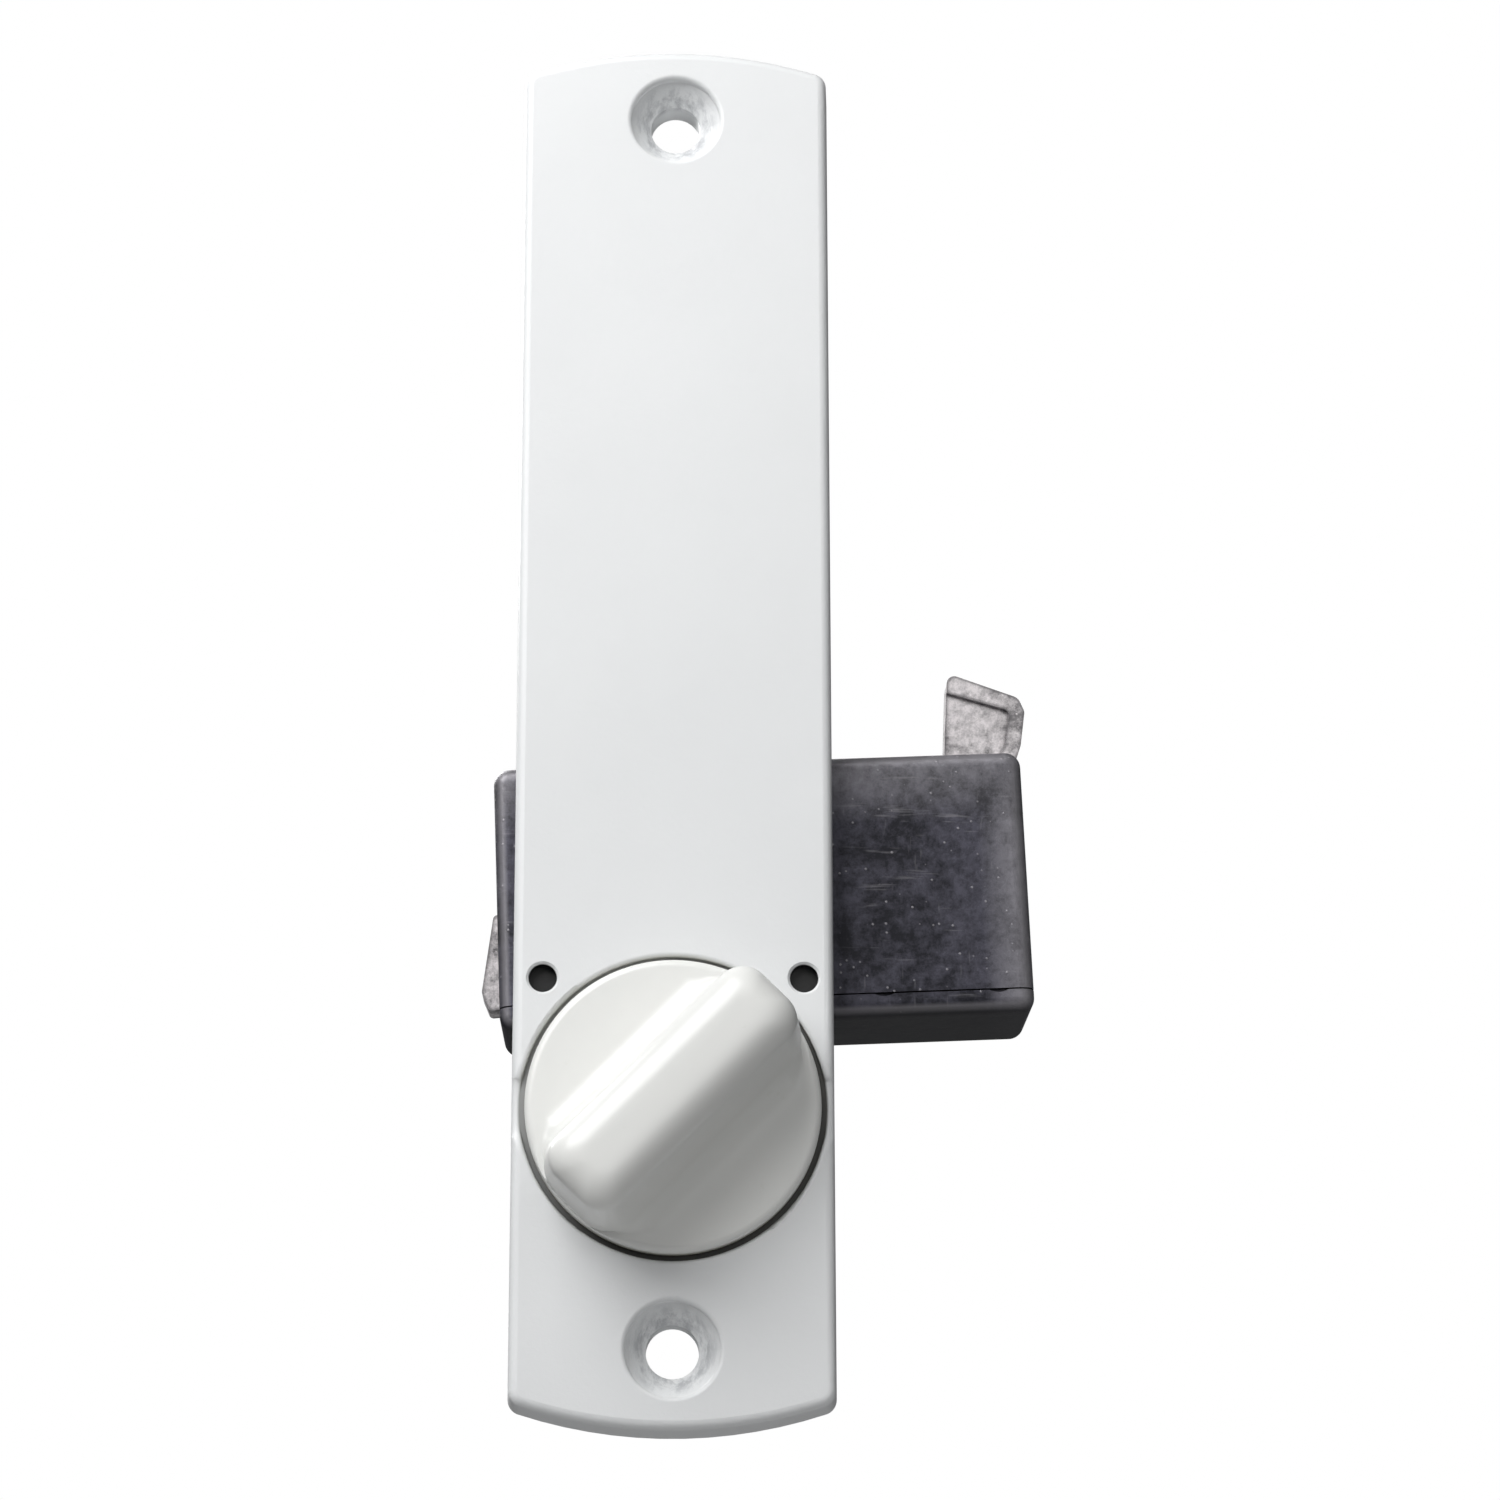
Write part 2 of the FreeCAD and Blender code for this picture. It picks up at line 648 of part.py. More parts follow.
def case_cover():
    """The front half of the case: the plain face and three side walls, with its own posts."""
    x, y, z = case_room()
    region = block("cover_region", ("-case_left - 1", "case_right + 1"), ("-1", "part_line"),
                   (f"{CASE_BOTTOM} + strip_height + seam_gap", "-case_top + 1"))
    shell = cut("cover_shell", overlap("cover_block", case_block("cover_outside"), region),
                block("cover_room", x, (y[0], "part_line + 1"), ("-case_top - case_height", z[1])))
    bosses = [rod("cover_hub", *PIVOT, "pivot_width + 2.4", ("case_skin / 2", "lever_front - side_gap")),
              rod("spring_stop", "-pivot_left - spring_leg + 0.7",
                  "-pivot_drop + spring_radius + spring_wire / 2 + 0.9", "1.6",
                  ("case_skin / 2", "lever_front - side_gap"))]
    holes = [rod("cover_hub_hole", *PIVOT, "pivot_width + 2 * running", ("case_skin / 2", "part_line"))]
    for side, place in COVER_FIXINGS.items():
        bosses.append(rod(f"cover_post_{side}", *place, "cover_post", ("case_skin / 2", CASE_BACK)))
        holes.append(rod(f"cover_pilot_{side}", *place, "small_screw + 2 * running",
                         ("part_line", "case_depth")))
    for side, place in CASE_FIXINGS.items():
        holes.append(rod(f"cover_hole_{side}", *place, "screw_width + 6 * running", ("-1", "part_line")))
    hook, tail, _ = lever_ways("cover")
    keep("case_cover", cut("cover", join("cover_cast", shell, *bosses), *holes, hook, tail), leaned=True)


def case_body():
    """The back half of the case, with the strip along the bottom that closes it at the front."""
    x, y, z = case_room()
    taken = block("cover_place", ("-case_left - 1", "case_right + 1"), ("-1", "part_line"),
                  (f"{CASE_BOTTOM} + strip_height", "-case_top + 1"))
    shell = cut("body_shell", case_block("body_outside"), taken, block("body_room", x, y, z))
    bx, bz = ball_formulas()
    bosses = [rod("body_hub", *PIVOT, "hub_width - 3",
                  (f"{LEVER_BACK} + side_gap", "case_depth - case_skin / 2")),
              rod("ball_boss", bx, bz, "ball_width + 4",
                  (f"{LEVER_BACK} + 0.4", "case_depth - case_skin / 2"))]
    holes = [rod("body_hub_hole", *PIVOT, "pivot_width + 2 * running", ("0", "case_depth - case_skin / 2")),
             rod("ball_bore", bx, bz, "ball_width + 2 * running", ("0", "case_depth - 0.8"))]
    for side, place in CASE_FIXINGS.items():
        bosses.append(rod(f"body_post_{side}", *place, "post_width",
                          ("case_skin", "case_depth - case_skin / 2")))
        holes.append(rod(f"body_hole_{side}", *place, "screw_width + 6 * running", ("-1", "case_depth + 1")))
    for side, place in COVER_FIXINGS.items():
        holes.append(rod(f"body_pilot_{side}", *place, "small_screw + 4 * running",
                         (CASE_BACK, "case_depth + 1")))
    posts = [rod(f"post_room_{side}", *place, "cover_post + 2 * running", (f"{CASE_BACK} - 20", CASE_BACK))
             for side, place in COVER_FIXINGS.items()]
    hook, tail, arm = lever_ways("body")
    keep("case_body", cut("body", join("body_cast", shell, *bosses), *holes, *posts, hook, tail, arm),
         leaned=True)


def head_screws(label, places, width, head, tall, start, seat, leaned_too):
    """Screws along Y, each with a domed head and a cross slot, as separate solids in one node."""
    screws = []
    for side, (x, z) in places.items():
        name = f"{label}_{side}"
        shank = rod(name + "_shank", x, z, width, (start, f"{seat} + 0.1"))
        crown = rod(name + "_crown", x, z, head, (seat, f"{seat} + {tall}"))
        slots = [block(f"{name}_slot_{way}", (f"({x}) - {long}", f"({x}) + {long}"),
                       (f"{seat} + {tall} / 2", f"{seat} + {tall} + 1"),
                       (f"({z}) - {high}", f"({z}) + {high}"))
                 for way, long, high in (("across", f"{head} * 0.32", f"{head} * 0.07"),
                                         ("up", f"{head} * 0.07", f"{head} * 0.32"))]
        screws.append(cut(name, join(name + "_whole", shank, crown), *slots))
    keep(label, group(label + "_set", *screws), leaned=leaned_too)


def screws():
    """Every screw of the lock."""
    head_screws("cover_screws", COVER_FIXINGS, "small_screw", "small_head", "small_head_tall",
                "part_line + 0.6", "case_depth", True)
    head_screws("case_screws", CASE_FIXINGS, "screw_width", "screw_head", "screw_head_tall",
                f"{PLATE_INSIDE} + 0.6", "case_depth", True)
    posts = {"left": ("-standoff_reach", "-knob_drop"), "right": ("standoff_reach", "-knob_drop")}
    head_screws("cylinder_screws", posts, "screw_width", "screw_head", "screw_head_tall",
                f"{PLATE_INSIDE} + 0.6", FLANGE_BACK, False)


# Hook lever and what works on it ----------------------------------------------------------------

def case_frame_knob():
    """The knob's axis as the case sees it before it leans."""
    turn = math.radians(size("case_lean"))
    return V(-size("knob_drop") * math.sin(turn), 0, -size("knob_drop") * math.cos(turn))


def spin(point, centre, degrees):
    """A point turned anticlockwise, as seen from the front, about a centre."""
    arm = point - centre
    turn = math.radians(degrees)
    return centre + V(arm.x * math.cos(turn) - arm.z * math.sin(turn), 0,
                      arm.x * math.sin(turn) + arm.z * math.cos(turn))


def drive_geometry():
    """The lever's throw in degrees, and the slot's two ends in the lever at rest."""
    pivot = V(-size("pivot_left"), 0, -size("pivot_drop"))
    axis = case_frame_knob()
    toward = (pivot - axis).normalize()
    pins = [spin(axis + toward * size("crank_reach"), axis, turn) for turn in (-45, 0)]
    rest, middle = pins
    half = math.degrees(math.asin((rest - pivot).cross(axis - pivot).normalize().dot(V(0, 1, 0))
                                  * (rest - pivot).cross(axis - pivot).Length
                                  / ((rest - pivot).Length * (axis - pivot).Length)))
    return 2 * abs(half), rest, spin(middle, pivot, abs(half))


def slab(points, y):
    """A flat piece with that outline, between two values of y."""
    corners = [V(x, y[0], z) for x, z in points]
    return Part.Face(Part.makePolygon(corners + corners[:1])).extrude(V(0, y[1] - y[0], 0))


def soften(solid, rules):
    """Round upright corners: each rule is a place and the radius there."""
    for (x, z), radius in rules:
        def far(edge):
            middle = edge.BoundBox.Center
            return math.hypot(middle.x - x, middle.z - z)
        nearest = min((edge for edge in solid.Edges if runs_along_y(edge)), key=far)
        solid = solid.makeFillet(radius, [nearest])
    return solid


def hook_points():
    """The hook's nose, from the foot of its straight edge over the tip to the foot of its back."""
    left = size("case_right") - size("hook_inset")
    right = left + size("hook_width")
    tip = size("hook_rise") - size("case_top")
    brow = tip - size("hook_fall")
    return {
        "foot": (left, -size("case_top") - size("case_wall") - 1.1),
        "tip": (left + size("hook_lean"), tip),
        "brow": (right - 0.6, brow),
        "bulge": (right, brow - 1.5),
        "back": (right - 0.6, -size("case_top") + 1.9),
        "neck": (size("case_right") - 2.1, -size("case_top") - 5.1),
        "heel": (size("case_right") - 3.8, -size("case_top") - 9.7),
    }


def lever_blank():
    """The lever as cast: a hub with the hook arm, the tail arm and the drive arm."""
    y = (size("lever_front"), size("lever_front") + size("lever_thick"))
    thick = V(0, size("lever_thick"), 0)
    pivot = V(-size("pivot_left"), y[0], -size("pivot_drop"))
    nose = hook_points()
    hub = size("hub_width") / 2
    top = pivot.z + hub
    hook_arm = slab([(pivot.x, top), nose["foot"], nose["tip"], nose["brow"], nose["bulge"], nose["back"],
                     nose["neck"], nose["heel"], (pivot.x + 13, pivot.z - 6.7), (pivot.x, pivot.z - 4)], y)
    hook_arm = soften(hook_arm, [(nose["tip"], 0.8), (nose["brow"], 1.1), (nose["bulge"], 0.9),
                                 (nose["heel"], 2.0), (nose["foot"], 1.0)])
    wall = -size("case_left")
    low, high = -size("tail_low"), -size("tail_top")
    reach = wall - size("tail_reach")
    tail = slab([(pivot.x, pivot.z + 4.5), (wall + 2.2, high), (wall - 0.5, high), (reach, low + 1.9),
                 (reach + 0.7, low), (wall + 2.2, low + 0.2), (wall + 2.9, low + 5.5),
                 (pivot.x, pivot.z - 5.5)], y)
    tail = soften(tail, [((wall - 0.5, high), 0.5), ((reach, low + 1.9), 1.0), ((reach + 0.7, low), 0.5)])
    _, slot_low, slot_high = drive_geometry()
    end = (slot_low + slot_high) * 0.5
    end.y = y[0]
    along = (end - pivot).normalize()
    across = V(along.z, 0, -along.x) * (size("arm_width") / 2)
    sides = [pivot + across, end + across, end - across, pivot - across]
    arm = slab([(point.x, point.z) for point in sides], y)
    rounds = [Part.makeCylinder(hub, thick.y, pivot, V(0, 1, 0)),
              Part.makeCylinder(size("arm_end") / 2, thick.y, end, V(0, 1, 0))]
    return hook_arm.multiFuse([tail, arm] + rounds).removeSplitter()


def lever_slot():
    """The short slot for the drive pin, wide enough for the small sideways wander of the pin."""
    y = size("lever_front") - 1
    _, low, high = drive_geometry()
    along = (high - low).normalize() * size("slot_spare")
    low, high = low - along, high + along
    radius = size("pin_width") / 2 + size("slot_play")
    across = V(along.z, 0, -along.x).normalize() * radius
    sides = [low + across, high + across, high - across, low - across]
    middle = slab([(point.x, point.z) for point in sides], (y, y + 10))
    ends = [Part.makeCylinder(radius, 10, V(point.x, y, point.z), V(0, 1, 0)) for point in (low, high)]
    return middle.multiFuse(ends)


def hook_dish():
    """The shallow step in the hook's nose: it leaves a raised border along the slope and the bulge."""
    nose = hook_points()
    inset, left = size("dish_inset"), nose["foot"][0] - 1
    low = nose["foot"][1] + 2
    points = [(left, low), (left, nose["tip"][1] - inset),
              (nose["brow"][0] - inset * 0.6, nose["brow"][1] - inset * 0.9),
              (nose["back"][0] - inset * 1.1, nose["back"][1]), (left + 4 * inset, low)]
    dish = slab(points, (size("lever_front") - 1, size("lever_front") + size("dish_deep")))
    return soften(dish, [(points[2], 0.8)])


def ball_formulas():
    """Formulas for the detent ball's place in the case."""
    return ("-pivot_left + ball_reach * cos(ball_angle * 1deg)",
            "-pivot_drop - ball_reach * sin(ball_angle * 1deg)")


def detent_track():
    """The shallow arc the ball runs in, with a deeper seat for it at each end."""
    throw = drive_geometry()[0]
    radius = size("ball_width") / 2
    y = size("lever_front") + size("lever_thick") + radius - size("ball_bite")
    pivot = V(-size("pivot_left"), y, -size("pivot_drop"))
    start = V(pivot.x + size("ball_reach") * math.cos(math.radians(size("ball_angle"))), y,
              pivot.z - size("ball_reach") * math.sin(math.radians(size("ball_angle"))))
    groove = radius + 0.1
    ring = Part.Wire(Part.makeCircle(groove, start, (start - pivot).cross(V(0, 1, 0))))
    track = Part.Face(ring).revolve(pivot, FRONT, throw)
    seats = [Part.makeSphere(groove, place - V(0, size("dimple_extra"), 0))
             for place in (start, spin(start, pivot, throw) + V(0, y, 0) - V(0, pivot.y, 0))]
    return track.multiFuse(seats)


def hook_lever():
    """The rocking lever that carries the hook."""
    lever = coded("lever_blank", lever_blank())
    bore = rod("lever_bore", *PIVOT, "pivot_width + 2 * running", ("lever_front - 1", f"{LEVER_BACK} + 1"))
    leg = rod("lever_spring_hole", "-pivot_left + spring_reach", "-pivot_drop + spring_radius",
              "spring_wire + 0.5",
              ("lever_front - 1", f"{LEVER_BACK} + 1"))
    keep("hook_lever", cut("lever", lever, coded("lever_slot", lever_slot()), coded("hook_dish", hook_dish()),
                           coded("detent_track", detent_track()), bore, leg), leaned=True)
    bar = rod("pivot_bar", *PIVOT, "pivot_width", ("case_skin / 2 + 0.05",
                                                   "case_depth - case_skin / 2 - 0.05"))
    keep("pivot_pin", group("pivot_set", bar), leaned=True)


def hook_spring():
    """The torsion spring round the pivot that keeps the lever snug against the drive pin: two turns,
    a straight leg to each side and a tip bent back into the lever."""
    radius, wire = size("spring_radius"), size("spring_wire")
    height, bend = 2 * size("spring_pitch"), 0.6
    turns = Part.makeHelix(size("spring_pitch"), height, radius)
    curl = turns.Edges[0]
    begin, finish = curl.valueAt(curl.FirstParameter), curl.valueAt(curl.LastParameter)
    way = curl.tangentAt(curl.FirstParameter)
    heel = begin - way * size("spring_leg")
    knee = finish + way * (size("spring_reach") - bend)
    shin = V(knee.x, knee.y + bend, knee.z + bend)
    middle = V(knee.x, knee.y + bend * math.sin(math.pi / 4), knee.z + bend * (1 - math.cos(math.pi / 4)))
    front = size("case_skin") + 0.45 + wire / 2
    tip = V(shin.x, shin.y, size("lever_front") + 2.2 - front)
    path = Part.Wire([Part.makeLine(heel, begin), curl, Part.makeLine(finish, knee),
                      Part.Arc(knee, middle, shin).toShape(), Part.makeLine(shin, tip)])
    spring = path.makePipeShell([Part.Wire(Part.makeCircle(wire / 2, heel, way))], True, False)
    centre = V(-size("pivot_left"), front, -size("pivot_drop"))
    spring.Placement = FreeCAD.Placement(centre, FreeCAD.Rotation(V(1, 1, 1), -120))
    return spring


def coil(centre, along, radius, wire, length, turns):
    """A plain pressed spring starting at a place and running along a direction."""
    helix = Part.makeHelix((length - wire) / turns, length - wire, radius)
    ring = Part.Wire(Part.makeCircle(wire / 2, V(radius, 0, 0), V(0, 1, 0)))
    spring = Part.Wire(helix).makePipeShell([ring], True, True)
    spring.translate(V(0, 0, wire / 2))
    spring.Placement = FreeCAD.Placement(centre, FreeCAD.Rotation(V(0, 0, 1),
                                                                  along)).multiply(spring.Placement)
    return spring


def detent():
    """The spring-loaded ball that clicks into the lever at both ends of its travel."""
    bx, bz = ball_formulas()
    ball = doc.addObject("Part::Sphere", "ball")
    bind(ball, "Radius", "ball_width / 2")
    upright(ball, bx, f"{LEVER_BACK} + ball_width / 2 - ball_bite", bz, 0)
    keep("detent_ball", group("ball_set", ball), leaned=True)
    start = size("lever_front") + size("lever_thick") + size("ball_width") - size("ball_bite") + 0.05
    length = size("case_depth") - 0.85 - start
    turn = math.radians(size("ball_angle"))
    centre = V(-size("pivot_left") + size("ball_reach") * math.cos(turn), start,
               -size("pivot_drop") - size("ball_reach") * math.sin(turn))
    spring = coil(centre, V(0, 1, 0), size("ball_width") / 2 - 0.35, 0.4, length, 3)
    keep("detent_spring", group("detent_spring_set", coded("detent_coil", spring)), leaned=True)
    keep("hook_spring", group("hook_spring_set", coded("hook_coil", hook_spring())), leaned=True)


# Key cylinder -----------------------------------------------------------------------------------

def pin_places():
    """Formulas along Y for the pin stacks."""
    return [f"({FLANGE_BACK} + key_pin_first - 2.4 + {number} * key_pin_pitch)"
            for number in range(int(size("key_pin_count")))]


def cylinder_housing():
    """The fixed body of the key cylinder: flange, barrel and pin chimney."""
    long = (HOUSING_FRONT, HOUSING_BACK)
    flange = join("flange", block("flange_bar", ("-flange_width / 2 + flange_height / 2",
                                                 "flange_width / 2 - flange_height / 2"),
                                  (HOUSING_FRONT, FLANGE_BACK),
                                  ("-knob_drop - flange_height / 2", "-knob_drop + flange_height / 2")),
                  *[rod(f"flange_end_{side}", f"{sign}(flange_width - flange_height) / 2", "-knob_drop",
                        "flange_height",
                        (HOUSING_FRONT, FLANGE_BACK)) for side, sign in (("left", "-"), ("right", ""))])
    chimney = block("chimney", ("-chimney_width / 2", "chimney_width / 2"), (HOUSING_FRONT, HOUSING_BACK),
                    ("-knob_drop - chimney_drop", "-knob_drop"))
    solid = join("housing_cast", rod("barrel", *KNOB, "barrel_width", long), flange, chimney)
    holes = [rod("plug_bore", *KNOB, "plug_width + 2 * running",
                 (f"{HOUSING_FRONT} - 1", f"{HOUSING_BACK} + 1")),
             rod("plug_head_seat", *KNOB, "plug_head + 4 * running",
                 (f"{HOUSING_BACK} - plug_head_thick + 0.5", f"{HOUSING_BACK} + 1")),
             block("strip_slot", ("-key_pin_width / 2 - 0.6", "key_pin_width / 2 + 0.6"),
                   (f"{FLANGE_BACK} + 0.4", f"{HOUSING_BACK} - 1.4"),
                   ("-knob_drop - chimney_drop - 1", "-knob_drop - chimney_drop + strip_thick"))]
    for side, sign in (("left", "-"), ("right", "")):
        holes.append(rod(f"flange_hole_{side}", f"{sign}standoff_reach", "-knob_drop",
                         "screw_width + 6 * running",
                         (f"{HOUSING_FRONT} - 1", f"{FLANGE_BACK} + 1")))
    for number, y in enumerate(pin_places(), 1):
        holes.append(stud(f"chamber_{number}", y, "key_pin_width + 2 * running",
                          ("-knob_drop - chimney_drop", "-knob_drop - plug_width / 4")))
    keep("cylinder_housing", cut("housing", solid, *holes))
    keep("chamber_strip", block("strip", ("-key_pin_width / 2 - 0.6", "key_pin_width / 2 + 0.6"),
                                (f"{FLANGE_BACK} + 0.4", f"{HOUSING_BACK} - 1.4"),
                                ("-knob_drop - chimney_drop", "-knob_drop - chimney_drop + strip_thick")))


def standoffs():
    """The two tubes that hold the cylinder off the plate."""
    tubes = []
    for side, sign in (("left", "-"), ("right", "")):
        place = (f"{sign}standoff_reach", "-knob_drop")
        tubes.append(cut(f"standoff_{side}", rod(f"tube_out_{side}", *place, "standoff_width",
                                                 ("0", HOUSING_FRONT)),
                         rod(f"tube_in_{side}", *place, "screw_width + 6 * running",
                             ("-1", f"{HOUSING_FRONT} + 1"))))
    keep("standoffs", group("standoff_set", *tubes))


def key_plug():
    """The turning plug with its keyway, head, drive stub and pin holes."""
    body = rod("plug_bar", *KNOB, "plug_width", (f"{HOUSING_FRONT} - 0.2", HOUSING_BACK))
    head = rod("plug_head", *KNOB, "plug_head", (f"{HOUSING_BACK} - plug_head_thick + 0.6",
                                                 f"{HOUSING_BACK} + 0.6"))
    stub = stub_block("plug_stub", (f"{CAM_FRONT} + 1.2", CAM_BACK), "0")
    holes = [block("keyway", ("-keyway_width / 2", "keyway_width / 2"),
                   (f"{FLANGE_BACK} + 0.8", f"{HOUSING_BACK} + 2"),
                   ("-knob_drop - keyway_down", "-knob_drop + keyway_up")),
             rod("cam_screw_hole", *KNOB, "small_screw + 2 * running",
                 (f"{CAM_FRONT} - 1", f"{FLANGE_BACK} + 0.5"))]
    for number, y in enumerate(pin_places(), 1):
        holes.append(stud(f"plug_hole_{number}", y, "key_pin_width + 2 * running",
                          ("-knob_drop - plug_width", "-knob_drop")))
    keep("key_plug", cut("plug", join("plug_whole", body, head, stub), *holes))


def stub_block(name, y, room):
    """The plug's round stub with two flats."""
    flats = block(name + "_flats", (f"-stub_flat / 2 - {room}", f"stub_flat / 2 + {room}"),
                  (y[0], f"{y[1]} + 0.3"),
                  ("-knob_drop - stub_width", "-knob_drop + stub_width"))
    return overlap(name, rod(name + "_round", *KNOB, f"stub_width + 2 * {room}", (y[0], f"{y[1]} + 0.3")),
                   flats)


def plug_cam():
    """The cam on the plug: its quarter-turn slot lets the knob move while the key stays still."""
    span = (f"{CAM_FRONT} - 1", f"{CAM_BACK} + 1")
    disc = rod("cam_disc", *KNOB, "cam_width", (CAM_FRONT, CAM_BACK))
    hole = stub_block("cam_stub_hole", (f"{CAM_FRONT} + 1.2", CAM_BACK), "running")
    screw = rod("cam_screw_way", *KNOB, "small_screw + 4 * running", span)
    sink = taper("cam_sink", *KNOB, ("small_head", "small_screw"),
                 (f"{CAM_FRONT} - 0.05", f"{CAM_FRONT} + (small_head - small_screw) / 2"))
    keep("plug_cam", cut("cam", disc, hole, screw, sink, coded("cam_slot", cam_slot())))
    shank = rod("cam_screw_shank", *KNOB, "small_screw", (f"{CAM_FRONT} + 0.5", f"{FLANGE_BACK} + 0.3"))
    head = taper("cam_screw_head", *KNOB, ("small_head - 0.3", "small_screw - 0.3"),
                 (f"{CAM_FRONT} + 0.05", f"{CAM_FRONT} + (small_head - small_screw) / 2 + 0.05"))
    slot = block("cam_screw_slot", ("-small_head * 0.4", "small_head * 0.4"),
                 (f"{CAM_FRONT} - 1", f"{CAM_FRONT} + 0.45"),
                 ("-knob_drop - 0.25", "-knob_drop + 0.25"))
    keep("cam_screw", cut("cam_screw_whole", join("cam_screw_blank", shank, head), slot))


def cam_slot():
    """A quarter-turn slot round the knob's axis, starting at the drive pin."""
    axis = V(0, value(f"{CAM_FRONT} - 1"), -size("knob_drop"))
    start = axis + V(0, 0, size("crank_reach"))
    start = spin(start, axis, crank_middle() - 45) + V(0, axis.y, 0)
    wide = size("pin_width") / 2 + 0.1
    deep = size("cam_thick") + 2
    reach = size("crank_reach")
    ring = Part.makeCylinder(reach + wide, deep, axis, V(0, 1, 0)).cut(
        Part.makeCylinder(reach - wide, deep, axis, V(0, 1, 0)))
    edge = 3 * reach
    first, last = spin(V(0, 0, edge), V(), crank_middle() - 45), spin(V(0, 0, edge), V(), crank_middle() + 45)
    corner = spin(V(0, 0, edge * math.sqrt(2)), V(), crank_middle())
    wedge = slab([(0, axis.z), (first.x, axis.z + first.z), (corner.x, axis.z + corner.z),
                  (last.x, axis.z + last.z)],
                 (axis.y, axis.y + deep))
    end = spin(V(0, 0, reach), V(), crank_middle() + 45) + axis
    rounds = [Part.makeCylinder(wide, deep, V(place.x, axis.y, place.z), V(0, 1, 0)) for place in (start,
                                                                                                   end)]
    return ring.common(wedge).multiFuse(rounds)


def pin_stacks():
    """Key pins in the plug, driver pins in the chimney and the springs under them."""
    keys, drivers, springs = [], [], []
    base = "-knob_drop - plug_width / 2"
    for number, y in enumerate(pin_places(), 1):
        point = doc.addObject("Part::Cone", f"key_pin_point_{number}")
        bind(point, "Radius1", "key_pin_width / 2")
        bind(point, "Radius2", "key_pin_width / 8")
        bind(point, "Height", "0.9")
        upright(point, "0", y, "-knob_drop - 1.5", 0)
        keys.append(join(f"key_pin_{number}", point,
                         stud(f"key_pin_bar_{number}", y, "key_pin_width",
                              (f"{base} + 0.2", "-knob_drop - 1.5"))))
        drivers.append(stud(f"driver_pin_{number}", y, "key_pin_width",
                            (f"{base} - 0.1 - driver_length", f"{base} - 0.1")))
        start = V(0, value(y), value(f"{base} - 0.15 - driver_length"))
        length = value("chimney_drop - strip_thick - plug_width / 2 - 0.2 - driver_length")
        springs.append(coded(f"pin_spring_{number}", coil(start, V(0, 0, -1), size("key_pin_width") / 2 - 0.3,
                                                          0.4, length, 4)))
    keep("key_pins", group("key_pin_set", *keys))
    keep("driver_pins", group("driver_pin_set", *drivers))
    keep("pin_springs", group("pin_spring_set", *springs))


def write_parts():
    """Check every object, then write each sub-part to its own file."""
    doc.recompute()
    bad = [thing.Name for thing in doc.Objects if "Invalid" in thing.State or "Error" in thing.State]
    if bad:
        raise RuntimeError(f"these objects did not build: {bad}")
    for thing in nodes:
        shape = thing.Shape
        if shape.isNull() or not shape.isValid() or not shape.Solids:
            raise RuntimeError(f"{thing.Label} has no sound solid")
    for thing in nodes:
        thing.Shape.exportStep(f"parts/{thing.Label}.step")
        print(f"{thing.Label}: {len(thing.Shape.Solids)} solid(s), {thing.Shape.Volume:.1f} mm3")
    throw = drive_geometry()[0]
    print(f"lever throw {throw:.4f} degrees for a quarter turn, ratio {-throw / 90:.6f}")
    pivot = lever_pivot()
    print(f"lever pivot at x {pivot[0]:.4f}, z {pivot[1]:.4f}")


face_plate()
knob()
spindle()
retaining_ring()
crank()
case_cover()
case_body()
hook_lever()
detent()
screws()
standoffs()
cylinder_housing()
key_plug()
plug_cam()
pin_stacks()
write_parts()
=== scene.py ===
# %% [markdown]
# # A keyed window lock
# The object is a slim white face plate with a thumb knob, a dark cast case behind it, a hook that
# stands out of the case, and a key cylinder behind the knob. The hard parts come finished in size
# from the CAD model. This lesson gives them their finishes, replaces the knob with a softer
# moulding, and sets up the studio.

import json
import math

import bpy
import numpy as np
from mathutils import Matrix, Vector


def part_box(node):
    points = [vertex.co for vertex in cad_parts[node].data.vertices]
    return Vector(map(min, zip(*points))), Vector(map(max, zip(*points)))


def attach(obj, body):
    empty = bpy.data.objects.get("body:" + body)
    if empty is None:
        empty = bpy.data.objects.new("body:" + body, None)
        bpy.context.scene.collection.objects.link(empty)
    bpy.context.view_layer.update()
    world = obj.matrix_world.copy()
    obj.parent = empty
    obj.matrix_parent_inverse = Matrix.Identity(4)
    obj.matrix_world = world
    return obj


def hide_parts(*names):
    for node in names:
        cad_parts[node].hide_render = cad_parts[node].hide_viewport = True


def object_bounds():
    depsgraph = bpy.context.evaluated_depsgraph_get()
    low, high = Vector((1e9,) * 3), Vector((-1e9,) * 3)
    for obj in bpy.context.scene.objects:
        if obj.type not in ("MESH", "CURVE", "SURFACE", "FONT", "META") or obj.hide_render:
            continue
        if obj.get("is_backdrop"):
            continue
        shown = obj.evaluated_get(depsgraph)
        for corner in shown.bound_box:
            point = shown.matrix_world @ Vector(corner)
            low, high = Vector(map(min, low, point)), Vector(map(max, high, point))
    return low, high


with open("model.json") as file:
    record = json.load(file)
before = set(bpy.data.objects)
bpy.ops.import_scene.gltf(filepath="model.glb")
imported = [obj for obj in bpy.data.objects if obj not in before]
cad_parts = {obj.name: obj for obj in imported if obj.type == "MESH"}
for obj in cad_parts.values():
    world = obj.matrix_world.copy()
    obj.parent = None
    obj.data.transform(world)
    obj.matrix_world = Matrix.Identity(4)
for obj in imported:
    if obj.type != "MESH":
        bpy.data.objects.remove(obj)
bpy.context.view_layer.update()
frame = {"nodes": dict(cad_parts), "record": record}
MM = 0.001

# %% [markdown]
# ## The camera
# A long lens a short way off keeps the sides of the plate nearly straight. The camera stands a
# little below the lock and looks up, so the underside of the case shows.

